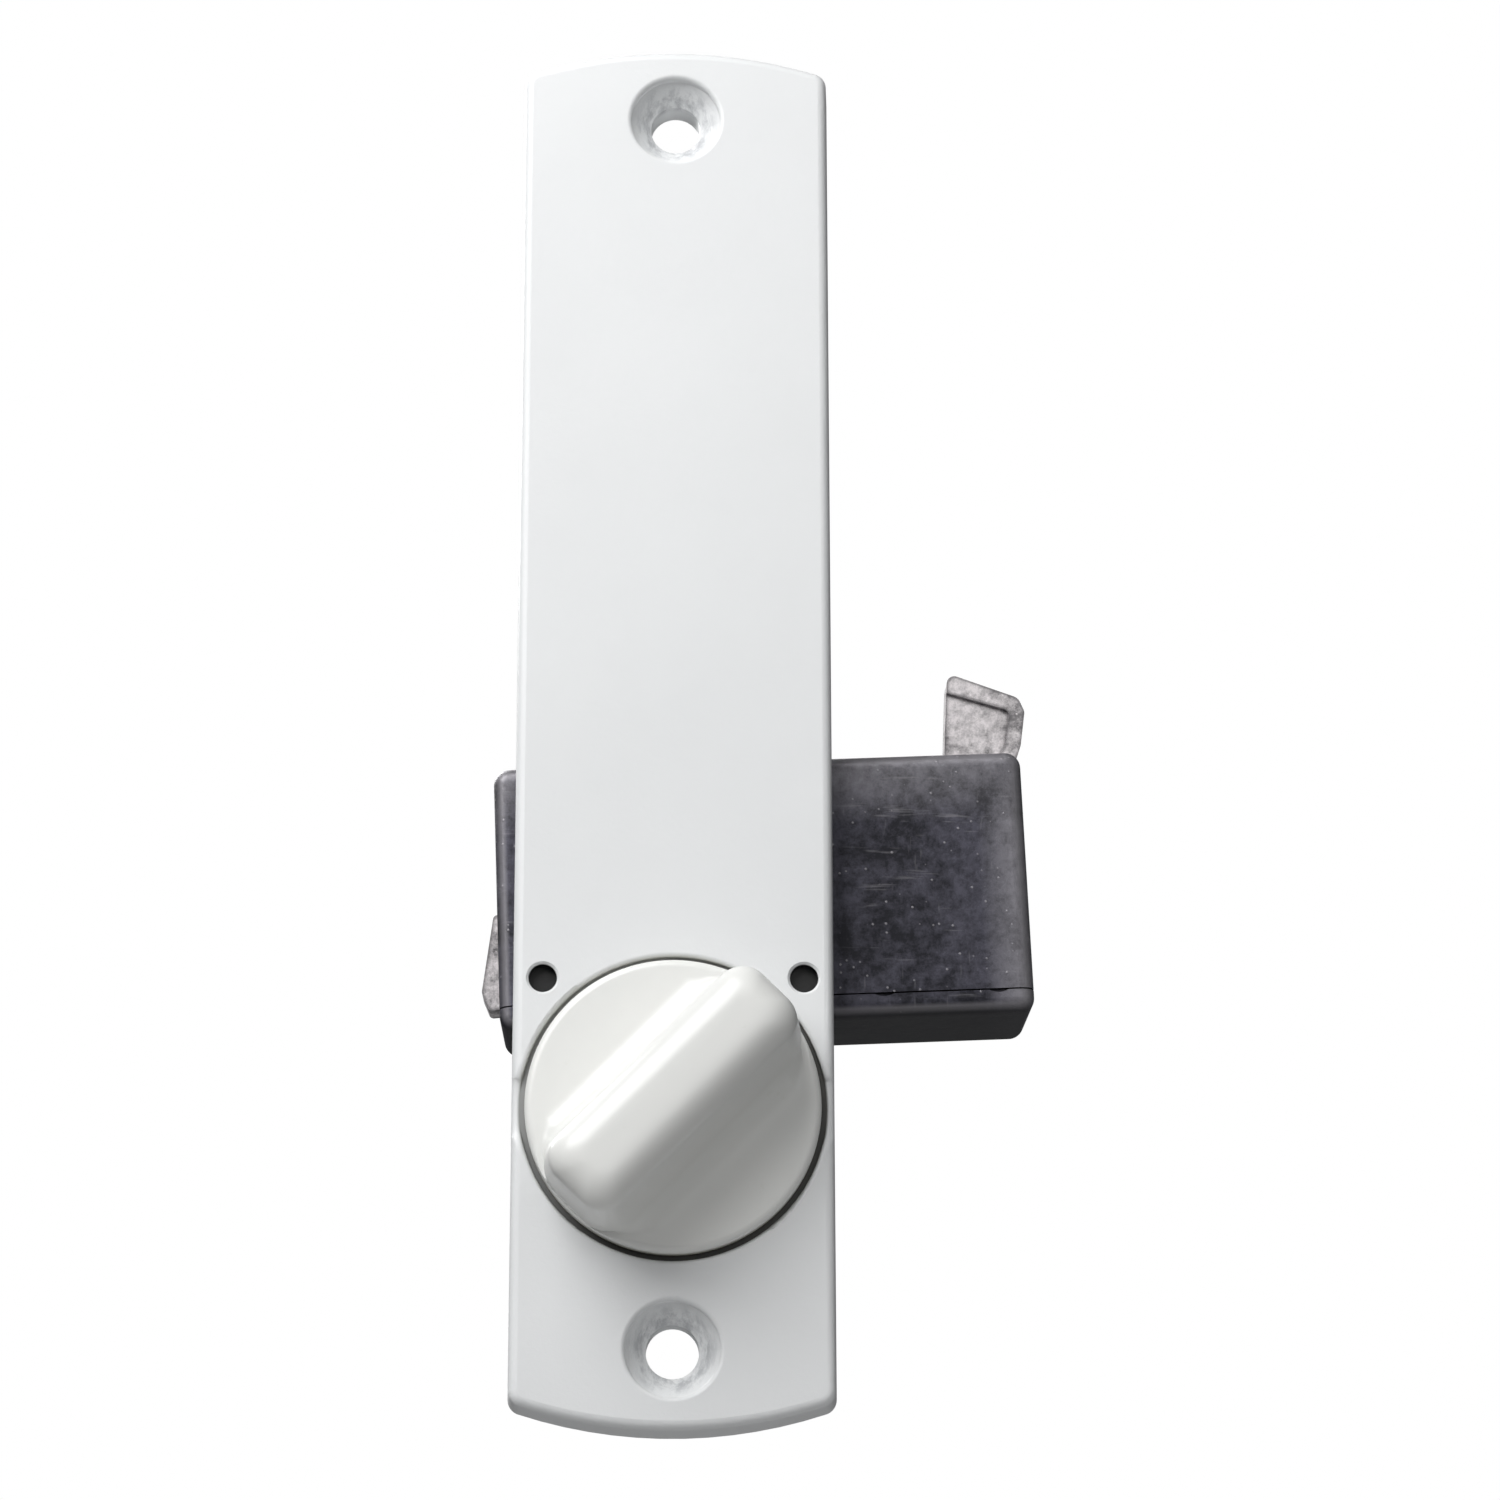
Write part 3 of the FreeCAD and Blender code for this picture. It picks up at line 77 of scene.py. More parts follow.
# %% Camera
CAMERA_LENS, SENSOR_WIDTH = 96.0, 36.0  # millimetres
CAMERA_AWAY = 400.0 * MM
CAMERA_LOW = math.radians(-15.4)
CAMERA_SIDE = math.radians(-1.14)
CAMERA_ROLL = math.radians(-0.14)
PLATE_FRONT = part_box("plate")[0].y
AIM = Vector((7.59 * MM, PLATE_FRONT, -4.36 * MM))
CLIP_RANGE = 0.01, 20.0  # metres


def place_camera():
    """Put the camera on a sphere round the aim point: the way back is given by its two angles."""
    back = Vector((math.sin(CAMERA_SIDE) * math.cos(CAMERA_LOW),
                   -math.cos(CAMERA_SIDE) * math.cos(CAMERA_LOW), math.sin(CAMERA_LOW)))
    right = (-back).cross(Vector((0, 0, 1))).normalized()
    up = right.cross(-back)
    turned_right = right * math.cos(CAMERA_ROLL) + up * math.sin(CAMERA_ROLL)
    turned_up = up * math.cos(CAMERA_ROLL) - right * math.sin(CAMERA_ROLL)
    camera = bpy.data.objects.new("camera", bpy.data.cameras.new("camera"))
    bpy.context.scene.collection.objects.link(camera)
    camera.data.lens = CAMERA_LENS
    camera.data.sensor_width = SENSOR_WIDTH
    camera.data.clip_start, camera.data.clip_end = CLIP_RANGE
    turn = Matrix((turned_right, turned_up, back)).transposed().to_4x4()
    camera.matrix_world = Matrix.Translation(AIM + back * CAMERA_AWAY) @ turn
    bpy.context.scene.camera = camera
    return camera


camera = place_camera()
print("camera at", [round(value, 3) for value in camera.location])

# %% [markdown]
# ## The floor
# The lock hangs in the air, as it would on a thread, so the floor lies well below it and catches no
# shadow close by. One square is enough, and it is staged, which keeps it out of the finished model.

# %% Floor
FLOOR_DROP = 0.60  # metres
FLOOR_SIZE = 3.0  # metres, half a side


def link(name, mesh):
    """Put a mesh in the scene as an object at the origin."""
    thing = bpy.data.objects.new(name, mesh)
    bpy.context.scene.collection.objects.link(thing)
    return thing


def mesh_from_grid(name, points):
    """A mesh from a grid of points (rows, columns, 3): each face joins a point to the next in its
    row, and both to the same two in the row after."""
    rows, columns = points.shape[:2]
    index = np.arange(rows * columns).reshape(rows, columns)
    left, right = index[:, :-1], index[:, 1:]
    quads = np.stack([left[:-1], right[:-1], right[1:], left[1:]], axis=-1).reshape(-1, 4)
    mesh = bpy.data.meshes.new(name)
    mesh.from_pydata(points.reshape(-1, 3).tolist(), [], quads.tolist())
    mesh.update()
    return mesh


def make_floor():
    """A flat square, a set drop below the lock's lowest point."""
    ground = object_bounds()[0].z - FLOOR_DROP
    side = np.array([-1.0, 1.0]) * FLOOR_SIZE
    x, y = np.meshgrid(side, side)
    grid = np.stack([x, y, np.full_like(x, ground)], axis=-1)
    floor = link("floor", mesh_from_grid("floor", grid))
    floor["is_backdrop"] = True
    return floor


floor = make_floor()
print("floor at", round(floor.data.vertices[0].co.z, 3), "metres")

# %% [markdown]
# ## The surround
# A studio has white walls. They look white here too, but they light the lock with much less, so
# that the soft lights draw its shapes. A mix of two backgrounds does this without any walls.

# %% Surround
WORLD_LIGHT = 0.09
WORLD_TINT = (0.96, 0.98, 1.0, 1)


def make_world():
    """White to the eye, soft grey as a light: a mix led by whether the ray comes from the camera."""
    world = bpy.data.worlds.new("studio")
    bpy.context.scene.world = world
    world.use_nodes = True
    tree = world.node_tree
    tree.nodes.clear()
    out = tree.nodes.new("ShaderNodeOutputWorld")
    mix = tree.nodes.new("ShaderNodeMixShader")
    seen = tree.nodes.new("ShaderNodeBackground")
    seen.inputs["Color"].default_value = (1, 1, 1, 1)
    seen.inputs["Strength"].default_value = 1.0
    lit = tree.nodes.new("ShaderNodeBackground")
    lit.inputs["Color"].default_value = WORLD_TINT
    lit.inputs["Strength"].default_value = WORLD_LIGHT
    path = tree.nodes.new("ShaderNodeLightPath")
    tree.links.new(path.outputs["Is Camera Ray"], mix.inputs[0])
    tree.links.new(lit.outputs[0], mix.inputs[1])
    tree.links.new(seen.outputs[0], mix.inputs[2])
    tree.links.new(mix.outputs[0], out.inputs["Surface"])


make_world()
bpy.context.scene.view_settings.view_transform = "Standard"
print("surround lights the lock with", WORLD_LIGHT)

# %% [markdown]
# ## The soft lights
# A large light above and to the left draws the grip and the plate's edges, a weak one on the right
# keeps the shadows open, and one behind shows the back. Each is a square panel, since a small lamp
# would give hard shadows. Places are in metres, and powers in watts.

# %% Soft lights
LIGHTS = {
    "key": {"place": (-0.25, -0.34, 0.34), "width": 0.46, "power": 3.9},
    "fill": {"place": (0.25, -0.60, 0.12), "width": 0.60, "power": 0.85},
    "back": {"place": (-0.35, 0.60, 0.50), "width": 0.50, "power": 6.0},
}


def make_light(name, place, width, power):
    """A square soft light that faces the middle of the lock."""
    lamp = bpy.data.lights.new(name, "AREA")
    lamp.size = width
    lamp.energy = power
    holder = bpy.data.objects.new(name, lamp)
    bpy.context.scene.collection.objects.link(holder)
    holder.location = place
    holder.rotation_euler = (-Vector(place)).to_track_quat("-Z", "Y").to_euler()
    return holder


for name, light in LIGHTS.items():
    make_light(name, **light)
    print("light", name, "at", light["place"])

# %% [markdown]
# ## Finishes: the small helpers
# Every finish is a Principled shader fed by procedural patterns on Object coordinates, which are in
# metres here. The helpers below each add one node and hand back its output, so that a finish reads
# from top to bottom like a recipe.

# %% Node helpers
EDGE_SAMPLES = 6
FINISHES = {}


class Recipe:
    """One material being written: keeps its node tree and its shader."""

    def __init__(self, name):
        self.material = bpy.data.materials.new(name)
        self.material.use_nodes = True
        self.tree = self.material.node_tree
        self.shader = self.tree.nodes["Principled BSDF"]
        self.place = self.tree.nodes.new("ShaderNodeTexCoord").outputs["Object"]

    def node(self, kind, inputs=(), **settings):
        """Add a node, set its plain settings, and link or set its inputs."""
        made = self.tree.nodes.new(kind)
        for key, value in settings.items():
            setattr(made, key, value)
        for key, value in dict(inputs).items():
            self.feed(made.inputs[key], value)
        return made

    def feed(self, socket, value):
        """Link an output to a socket, or set the socket's own value."""
        if isinstance(value, bpy.types.NodeSocket):
            self.tree.links.new(value, socket)
        else:
            socket.default_value = value

    def stretched(self, scale, turn=(0, 0, 0)):
        """The place of a point after the pattern is turned and stretched."""
        inputs = {"Vector": self.place, "Scale": scale, "Rotation": turn}
        return self.node("ShaderNodeMapping", inputs).outputs[0]

    def noise(self, scale, detail=3.0, rough=0.5, place=None, distortion=0.0):
        """Soft noise between 0 and 1; its blobs are about one over the scale in metres."""
        inputs = {"Vector": place or self.place, "Scale": scale, "Detail": detail,
                  "Roughness": rough, "Distortion": distortion}
        return self.node("ShaderNodeTexNoise", inputs).outputs[0]

    def ramp(self, value, low, high, start=0.0, end=1.0):
        """Take a value between low and high to one between start and end, and no further."""
        inputs = {"Value": value, "From Min": low, "From Max": high, "To Min": start, "To Max": end}
        return self.node("ShaderNodeMapRange", inputs, clamp=True).outputs[0]

    def sum(self, first, second, how="ADD"):
        """Two numbers joined by plain arithmetic."""
        return self.node("ShaderNodeMath", {0: first, 1: second}, operation=how).outputs[0]

    def blend(self, share, first, second):
        """A colour part of the way from the first to the second."""
        made = self.node("ShaderNodeMix", data_type="RGBA")
        self.feed(made.inputs[0], share)
        self.feed(made.inputs[6], first)
        self.feed(made.inputs[7], second)
        return made.outputs[2]

    def bump(self, height, depth, strength=1.0, under=None):
        """Raise the surface by a height pattern; depth is in metres."""
        inputs = {"Height": height, "Distance": depth, "Strength": strength}
        if under is not None:
            inputs["Normal"] = under
        return self.node("ShaderNodeBump", inputs).outputs[0]

    def edges(self, radius):
        """How near a point is to a sharp edge: the true normal against one rounded by that radius."""
        soft = self.node("ShaderNodeBevel", {"Radius": radius}, samples=EDGE_SAMPLES).outputs[0]
        true = self.node("ShaderNodeNewGeometry").outputs["Normal"]
        both = self.node("ShaderNodeVectorMath", {0: soft, 1: true}, operation="DOT_PRODUCT")
        return both.outputs["Value"]

    def finish(self, **sockets):
        """Feed the shader's sockets, named with underscores for spaces."""
        for key, value in sockets.items():
            self.feed(self.shader.inputs[key.replace("_", " ")], value)
        return self.material


def shade(red, green, blue):
    """A colour with full cover."""
    return (red, green, blue, 1.0)


def keep_finish(slot, material):
    """File a finish under the slot that it dresses, and say how many nodes it took."""
    FINISHES[slot] = material
    print(slot, "has", len(material.node_tree.nodes), "nodes")


# %% [markdown]
# ## White powder coat
# The plate is die-cast and powder coated. The coat lies a little uneven, like orange peel, and a fine
# noise gives the peel. The distance from each screw hole's axis finds the countersinks, which are
# darkened grey in patches: partly rub marks, partly painted shade. The groove round the knob gets a
# painted shadow, heaviest to the lower right.

# %% Powder coat
SCREW_SEAT = 4.7 * MM
KNOB_LOW, KNOB_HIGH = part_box("knob")
KNOB_AXIS = Vector(((KNOB_LOW.x + KNOB_HIGH.x) / 2, 0, (KNOB_LOW.z + KNOB_HIGH.z) / 2))
KNOB_SEAT = 15.0 * MM
DOT_AWAY = 18.2 * MM * math.sqrt(0.5)
DOT_RADIUS = 1.42 * MM
HOLE_SPACING = frame["record"]["mounts"][0]["dims"]["spacing_y_mm"] * MM
SUNK_START, SUNK_END = PLATE_FRONT + 0.15 * MM, PLATE_FRONT + 0.45 * MM
# Where the painted shadow round the knob starts and reaches its heaviest, along the lower-right
# direction.
GAP_SHADOW_START, GAP_SHADOW_END = -KNOB_AXIS.z - 16 * MM, -KNOB_AXIS.z + 8 * MM
GRAIN_DEPTH, PEEL_DEPTH = 0.012 * MM, 0.03 * MM


def distance_from(recipe, x, z):
    """How far a point is from a line along Y through x and z: the root of the summed squares."""
    split = recipe.node("ShaderNodeSeparateXYZ", {0: recipe.place})
    across = recipe.sum(split.outputs[0], -x)
    up = recipe.sum(split.outputs[2], -z)
    square = recipe.sum(recipe.sum(across, across, "MULTIPLY"), recipe.sum(up, up, "MULTIPLY"))
    return recipe.sum(square, 0.5, "POWER")


def powder_coat():
    """Satin white with orange peel and faint clouds, countersinks darkened in patches (partly rub marks,
    partly painted shade), a painted shadow in the groove round the knob, darkest to the lower right,
    and two dots painted black."""
    recipe = Recipe("powder_coat")
    clouds = recipe.noise(38.0, 4.0, 0.6)
    colour = recipe.blend(recipe.ramp(clouds, 0.3, 0.75),
                          shade(0.80, 0.81, 0.815), shade(0.76, 0.77, 0.775))
    depth = recipe.node("ShaderNodeSeparateXYZ", {0: recipe.place}).outputs[1]
    front = recipe.ramp(depth, PLATE_FRONT / 3, PLATE_FRONT / 2)
    wear_and_painted_light = recipe.noise(900.0, 5.0, 0.7, recipe.stretched((1, 1, 0.35)))
    # Painted shade with rub marks: near the front of each countersink the wall turns dark grey in noisy
    # patches.
    for height in (HOLE_SPACING / 2, -HOLE_SPACING / 2):
        near = recipe.ramp(distance_from(recipe, 0.0, height), SCREW_SEAT * 0.98, SCREW_SEAT * 0.72)
        worn = recipe.sum(recipe.sum(recipe.ramp(wear_and_painted_light, 0.42, 0.62), near, "MULTIPLY"), front, "MULTIPLY")
        colour = recipe.blend(recipe.sum(worn, 0.6, "MULTIPLY"), colour, shade(0.28, 0.29, 0.31))
    sunk = recipe.ramp(depth, SUNK_START, SUNK_END)
    # Painted shadow in the gap round the knob: the sunk ring just outside the knob's seat goes near
    # black, heavier towards the lower right, away from the light.
    from_knob = distance_from(recipe, KNOB_AXIS.x, KNOB_AXIS.z)
    seat = recipe.ramp(from_knob, KNOB_SEAT + 0.25 * MM, KNOB_SEAT)
    split = recipe.node("ShaderNodeSeparateXYZ", {0: recipe.place})
    lower_right = recipe.sum(split.outputs[0], split.outputs[2], "SUBTRACT")
    gap_shadow_weight = recipe.ramp(lower_right, GAP_SHADOW_START, GAP_SHADOW_END, 0.62, 0.97)
    gap_shadow = recipe.sum(recipe.sum(sunk, seat, "MULTIPLY"), gap_shadow_weight, "MULTIPLY")
    colour = recipe.blend(gap_shadow, colour, shade(0.028, 0.027, 0.020))
    for side in (-1, 1):
        away = distance_from(recipe, KNOB_AXIS.x + side * DOT_AWAY, KNOB_AXIS.z + DOT_AWAY)
        paint = recipe.sum(recipe.ramp(away, DOT_RADIUS + 0.1 * MM, DOT_RADIUS), sunk, "MULTIPLY")
        colour = recipe.blend(paint, colour, shade(0.004, 0.004, 0.004))
    peel = recipe.noise(1500.0, 2.0, 0.5)
    grain = recipe.noise(5200.0, 2.0, 0.5)
    relief = recipe.bump(grain, GRAIN_DEPTH, 0.6, recipe.bump(peel, PEEL_DEPTH, 0.55))
    rough = recipe.ramp(clouds, 0.2, 0.8, 0.36, 0.46)
    return recipe.finish(Base_Color=colour, Roughness=rough, Normal=relief)


keep_finish("plate_white", powder_coat())

# %% [markdown]
# ## Warm white moulding
# The knob is moulded plastic, glossier and a shade warmer than the plate. Its low rim, down in the
# plate's recess, is darkened towards olive: partly dirt, partly painted shade. Depth along Y is enough
# to find the rim, because nothing else on the knob lies so low.

# %% Moulded plastic
RIM_START, RIM_END = PLATE_FRONT - 0.9 * MM, PLATE_FRONT + 0.1 * MM
SINK_DEPTH = 0.04 * MM


def moulded_white():
    """Glossy warm white; a few small stains are tinted olive, and the low rim is darkened olive, partly
    dirt and partly painted shade.
    """
    recipe = Recipe("moulded_white")
    depth = recipe.node("ShaderNodeSeparateXYZ", {0: recipe.place}).outputs[1]
    rim = recipe.ramp(depth, RIM_START, RIM_END)
    stains = recipe.ramp(recipe.noise(260.0, 6.0, 0.75), 0.62, 0.70)
    clouds = recipe.ramp(recipe.noise(60.0, 2.0), 0.3, 0.7)
    colour = recipe.blend(clouds, shade(0.80, 0.80, 0.775), shade(0.77, 0.775, 0.755))
    colour = recipe.blend(recipe.sum(stains, 0.12, "MULTIPLY"), colour, shade(0.50, 0.50, 0.40))
    # Painted shade with dirt: the low rim, down in the plate's recess, is darkened towards olive.
    colour = recipe.blend(recipe.sum(rim, 0.55, "MULTIPLY"), colour, shade(0.40, 0.39, 0.27))
    relief = recipe.bump(recipe.noise(420.0, 3.0, 0.4), SINK_DEPTH, 0.35)
    rough = recipe.ramp(recipe.noise(900.0, 4.0), 0.3, 0.8, 0.30, 0.40)
    return recipe.finish(Base_Color=colour, Roughness=rough, Normal=relief,
                         Coat_Weight=0.15, Coat_Roughness=0.2)


keep_finish("knob_white", moulded_white())

# %% [markdown]
# ## Tumbled zinc
# The case is die-cast zinc left dark from tumbling. It is paler in patches along its top and its outer
# end and on its rounded edges: partly wear, partly painted highlight. Faces that look down are painted
# near black as shade. Tiny dings show as pale specks. The hook is the same metal left bare: a lighter,
# pinkish grey with dark oxide at its edges. One recipe serves both, with its colours as arguments.

# %% Cast zinc
LEAN = math.radians(2.2)
CASE_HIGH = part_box("case_cover")[1]
# The near black of the painted shade on faces that look down.
UNDERSIDE_SHADE_COLOUR = shade(0.004, 0.004, 0.006)
EDGE_REACH = 0.7 * MM
MOTTLE_DEPTH, CLOUD_DEPTH, DING_DEPTH = 0.10 * MM, 0.18 * MM, 0.04 * MM


def specks(recipe, scale, size, share):
    """Small round dings: the middles of random cells, kept only where the cell's own number is low."""
    cells = recipe.node("ShaderNodeTexVoronoi", {"Vector": recipe.place, "Scale": scale})
    split = recipe.node("ShaderNodeSeparateColor", {0: cells.outputs["Color"]})
    kept = recipe.ramp(split.outputs[0], share, share - 0.02)
    return recipe.sum(recipe.ramp(cells.outputs["Distance"], size, size * 0.5), kept, "MULTIPLY")


def cast_zinc(name, dark, light, pale_wear_and_highlight, metallic, rough, wear_and_highlight_share, oxide, underside_shade):
    """Clouds and mottling of two greys, then pale bands and pale rounded edges (partly wear, partly
    painted highlight), scratches, specks, painted shade on faces that look down, and oxide at the edges
    over them.
    """
    recipe = Recipe(name)
    clouds = recipe.noise(110.0, 6.0, 0.65, distortion=0.4)
    mottling = recipe.noise(620.0, 7.0, 0.78)
    base = recipe.sum(recipe.sum(clouds, 0.45, "MULTIPLY"), recipe.sum(mottling, 0.55, "MULTIPLY"))
    colour = recipe.blend(recipe.ramp(base, 0.43, 0.58), dark, light)
    leaning = recipe.node("ShaderNodeSeparateXYZ", {0: recipe.stretched((1, 1, 1), (0, LEAN, 0))})
    # Partly wear, partly painted highlight: paler in patches along the top and the outer end.
    top = recipe.ramp(leaning.outputs[2], CASE_HIGH.z - 8.5 * MM, CASE_HIGH.z - 1.0 * MM)
    outer = recipe.ramp(leaning.outputs[0], CASE_HIGH.x - 6.0 * MM, CASE_HIGH.x - 2.0 * MM, 0.0, 0.9)
    patchy = recipe.ramp(base, 0.38, 0.6, 0.35, 1.0)
    wear_and_painted_light = recipe.sum(recipe.sum(top, outer, "MAXIMUM"), patchy, "MULTIPLY")
    colour = recipe.blend(recipe.sum(wear_and_painted_light, wear_and_highlight_share, "MULTIPLY"), colour, pale_wear_and_highlight)
    long_way = recipe.noise(420.0, 3.0, 0.8, recipe.stretched((0.18, 1, 1.6), (0, 0.5, 0)))
    other_way = recipe.noise(380.0, 3.0, 0.8, recipe.stretched((1.5, 1, 0.2), (0, -0.35, 0)))
    scratches = recipe.sum(recipe.ramp(long_way, 0.60, 0.70),
                           recipe.ramp(other_way, 0.62, 0.72), "MAXIMUM")
    colour = recipe.blend(recipe.sum(scratches, 0.34, "MULTIPLY"), colour, pale_wear_and_highlight)
    dings = recipe.sum(specks(recipe, 1500.0, 0.24, 0.16),
                       specks(recipe, 420.0, 0.08, 0.16), "MAXIMUM")
    colour = recipe.blend(recipe.sum(dings, 0.7, "MULTIPLY"), colour, pale_wear_and_highlight)
    # Partly edge wear, partly painted highlight: faces half turned from the front, on the rounded edges,
    # go pale.
    facing_way = recipe.node("ShaderNodeNewGeometry").outputs["Normal"]
    normal = recipe.node("ShaderNodeSeparateXYZ", {0: facing_way})
    facing = recipe.sum(normal.outputs[1], 0.0, "ABSOLUTE")
    turned = recipe.sum(recipe.ramp(facing, 0.99, 0.90),
                        recipe.ramp(facing, 0.45, 0.75), "MULTIPLY")
    colour = recipe.blend(recipe.sum(turned, wear_and_highlight_share * 0.8, "MULTIPLY"), colour, pale_wear_and_highlight)
    # Painted shade: faces that look down go near black.
    below = recipe.sum(recipe.ramp(normal.outputs[2], -0.35, -0.85), underside_shade, "MULTIPLY")
    colour = recipe.blend(below, colour, UNDERSIDE_SHADE_COLOUR)
    rim = recipe.ramp(recipe.edges(EDGE_REACH), 0.99, 0.85)
    colour = recipe.blend(recipe.sum(rim, oxide, "MULTIPLY"), colour, dark)
    relief = recipe.bump(mottling, MOTTLE_DEPTH, 0.6, recipe.bump(clouds, CLOUD_DEPTH, 0.5))
    relief = recipe.bump(dings, DING_DEPTH, 0.7, relief)
    gloss = recipe.ramp(base, 0.35, 0.7, rough - 0.08, rough + 0.1)
    return recipe.finish(Base_Color=colour, Roughness=gloss, Metallic=metallic, Normal=relief)


keep_finish("zinc_dark", cast_zinc(
    "zinc_dark", dark=shade(0.006, 0.006, 0.011), light=shade(0.068, 0.066, 0.088),
    pale_wear_and_highlight=shade(0.30, 0.29, 0.31), metallic=0.5, rough=0.44, wear_and_highlight_share=0.8, oxide=0.0, underside_shade=0.9))
keep_finish("zinc_light", cast_zinc(
    "zinc_light", dark=shade(0.10, 0.095, 0.10), light=shade(0.78, 0.74, 0.75),
    pale_wear_and_highlight=shade(0.80, 0.76, 0.76), metallic=0.35, rough=0.48, wear_and_highlight_share=0.25, oxide=0.9, underside_shade=0.0))

# %% [markdown]
# ## Turned and plated metal
# Pins, screws, springs and the brass plug are small. They show fine turning lines across their
# length and a little clouding, no more.

# %% Turned metal
LINE_SCALE, LINE_DEPTH = 2600.0, 0.01 * MM
METALS = {
    "steel": {"colour": shade(0.56, 0.56, 0.57), "worn": shade(0.40, 0.40, 0.41), "rough": 0.30},
    "spring_steel": {"colour": shade(0.20, 0.20, 0.21), "worn": shade(0.30, 0.29, 0.28), "rough": 0.35},
    "zinc_plated": {"colour": shade(0.62, 0.63, 0.62), "worn": shade(0.50, 0.50, 0.47), "rough": 0.33},
    "cylinder_metal": {"colour": shade(0.60, 0.59, 0.56), "worn": shade(0.48, 0.47, 0.45), "rough": 0.36},
    "brass": {"colour": shade(0.72, 0.55, 0.26), "worn": shade(0.52, 0.38, 0.17), "rough": 0.28},
}


def turned_metal(name, colour, worn, rough):
    """Metal with fine lines across the lock's depth, clouded towards a worn colour."""
    recipe = Recipe(name)
    clouds = recipe.ramp(recipe.noise(300.0, 5.0, 0.65), 0.35, 0.7)
    turning = recipe.noise(LINE_SCALE, 3.0, 0.6, recipe.stretched((0.12, 1.0, 0.12)))
    tint = recipe.blend(clouds, colour, worn)
    gloss = recipe.ramp(turning, 0.3, 0.7, rough - 0.06, rough + 0.1)
    relief = recipe.bump(turning, LINE_DEPTH, 0.4)
    return recipe.finish(Base_Color=tint, Roughness=gloss, Metallic=1.0, Normal=relief)


for slot, metal in METALS.items():
    keep_finish(slot, turned_metal(slot, **metal))

# %% [markdown]
# ## Pale card for the floor
# The floor stands far below the lights and would look grey. A glow that only the eye sees keeps it
# pale without lighting the lock from below, which a real glow would do.

# %% Pale floor
FLOOR_GLOW = 0.75


def pale_floor():
    """Matt off-white card with a very faint cloud. A soft glow that only the eye sees keeps it pale
    far from the lights, without lighting the lock from below."""
    recipe = Recipe("pale_floor")
    clouds = recipe.ramp(recipe.noise(3.0, 3.0), 0.3, 0.7)
    colour = recipe.blend(clouds, shade(0.83, 0.83, 0.83), shade(0.80, 0.80, 0.80))
    seen = recipe.node("ShaderNodeLightPath").outputs["Is Camera Ray"]
    return recipe.finish(Base_Color=colour, Roughness=0.75, Emission_Color=colour,
                         Emission_Strength=recipe.sum(seen, FLOOR_GLOW, "MULTIPLY"))


floor.data.materials.append(pale_floor())
print("floor finish:", floor.data.materials[0].name)

# %% [markdown]
# ## Dress the CAD parts
# Each CAD part names a material slot in the record, so its finish is looked up by that slot. This
# way a part that changes its metal needs no change here.

# %% Finishes by slot
for part in frame["record"]["subparts"]:
    thing = frame["nodes"][part["node"]]
    thing.data.materials.clear()
    thing.data.materials.append(FINISHES[part["material_slot"]])
print(len(frame["nodes"]), "parts dressed in", len(FINISHES), "finishes")

# %% [markdown]
# ## The thumb knob
# On the real lock this is one moulding: a flat disc with a tall grip across it, whose sides flare
# into the disc. It could be carved from solids, but the flare and the soft ends come out better as
# one skin of closed rings. Each ring is a rounded bar outline near the top and a circle at the
# rim, and the rings between are part of each. Its sizes come from the part that it stands in for,
# a hair smaller so that it never grows the lock.

# %% Knob sizes
INSET = 0.02 * MM
DISC_RADIUS = (KNOB_HIGH.x - KNOB_LOW.x) / 2 - INSET
DISC_FACE = PLATE_FRONT - 1.5 * MM
DISC_BACK = PLATE_FRONT + 0.55 * MM
DISC_ROUND = 0.8 * MM
NECK_RADIUS, GROOVE_RADIUS = 6.0 * MM - INSET, 5.1 * MM + INSET
NECK_END = KNOB_HIGH.y - INSET
CLIP_LOW, CLIP_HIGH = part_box("retaining_ring")
BAR_LOW, BAR_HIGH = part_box("spindle")
FIT_GAP = 0.05 * MM
GRIP_TOP = KNOB_LOW.y + INSET
GRIP_ANGLE = math.radians(45.0)
TOP_LENGTH, TOP_WIDTH = 13.9 * MM, 4.5 * MM  # halves, at the foot of the shoulder
FOOT_LENGTH, FOOT_WIDTH, FOOT_CORNER = 14.15 * MM, 5.4 * MM, 3.4 * MM
SHOULDER, CROWN_DROP = 3.2 * MM, 0.03 * MM
FLARE, LEAST_FLARE = 2.6 * MM, 0.02 * MM
SHARP_ANGLE = math.radians(60.0)
END_POINTS, CORNER_POINTS, SIDE_POINTS = 10, 22, 40
CROWN_RINGS, SHOULDER_RINGS, WALL_RINGS, FLARE_RINGS, FLAT_RINGS = 5, 14, 10, 12, 12
FIRST_SHARE = 0.05  # how large the first ring is, next to the crown's edge
CROWN_CORNER = 0.9  # the crown's corner radius, as a share of its half width
print("knob disc", round(DISC_RADIUS / MM, 2), "mm in radius,",
      "grip", round(TOP_LENGTH * 2 / MM, 1), "mm long")

# %% [markdown]
# ## One ring of the grip
# Every ring has the same number of points in the same order, so that rings can be blended and
# joined one to one. The points are laid out from the outline's own end, corner and side, because
# points at even angles would crowd on the long sides and leave the corners coarse.

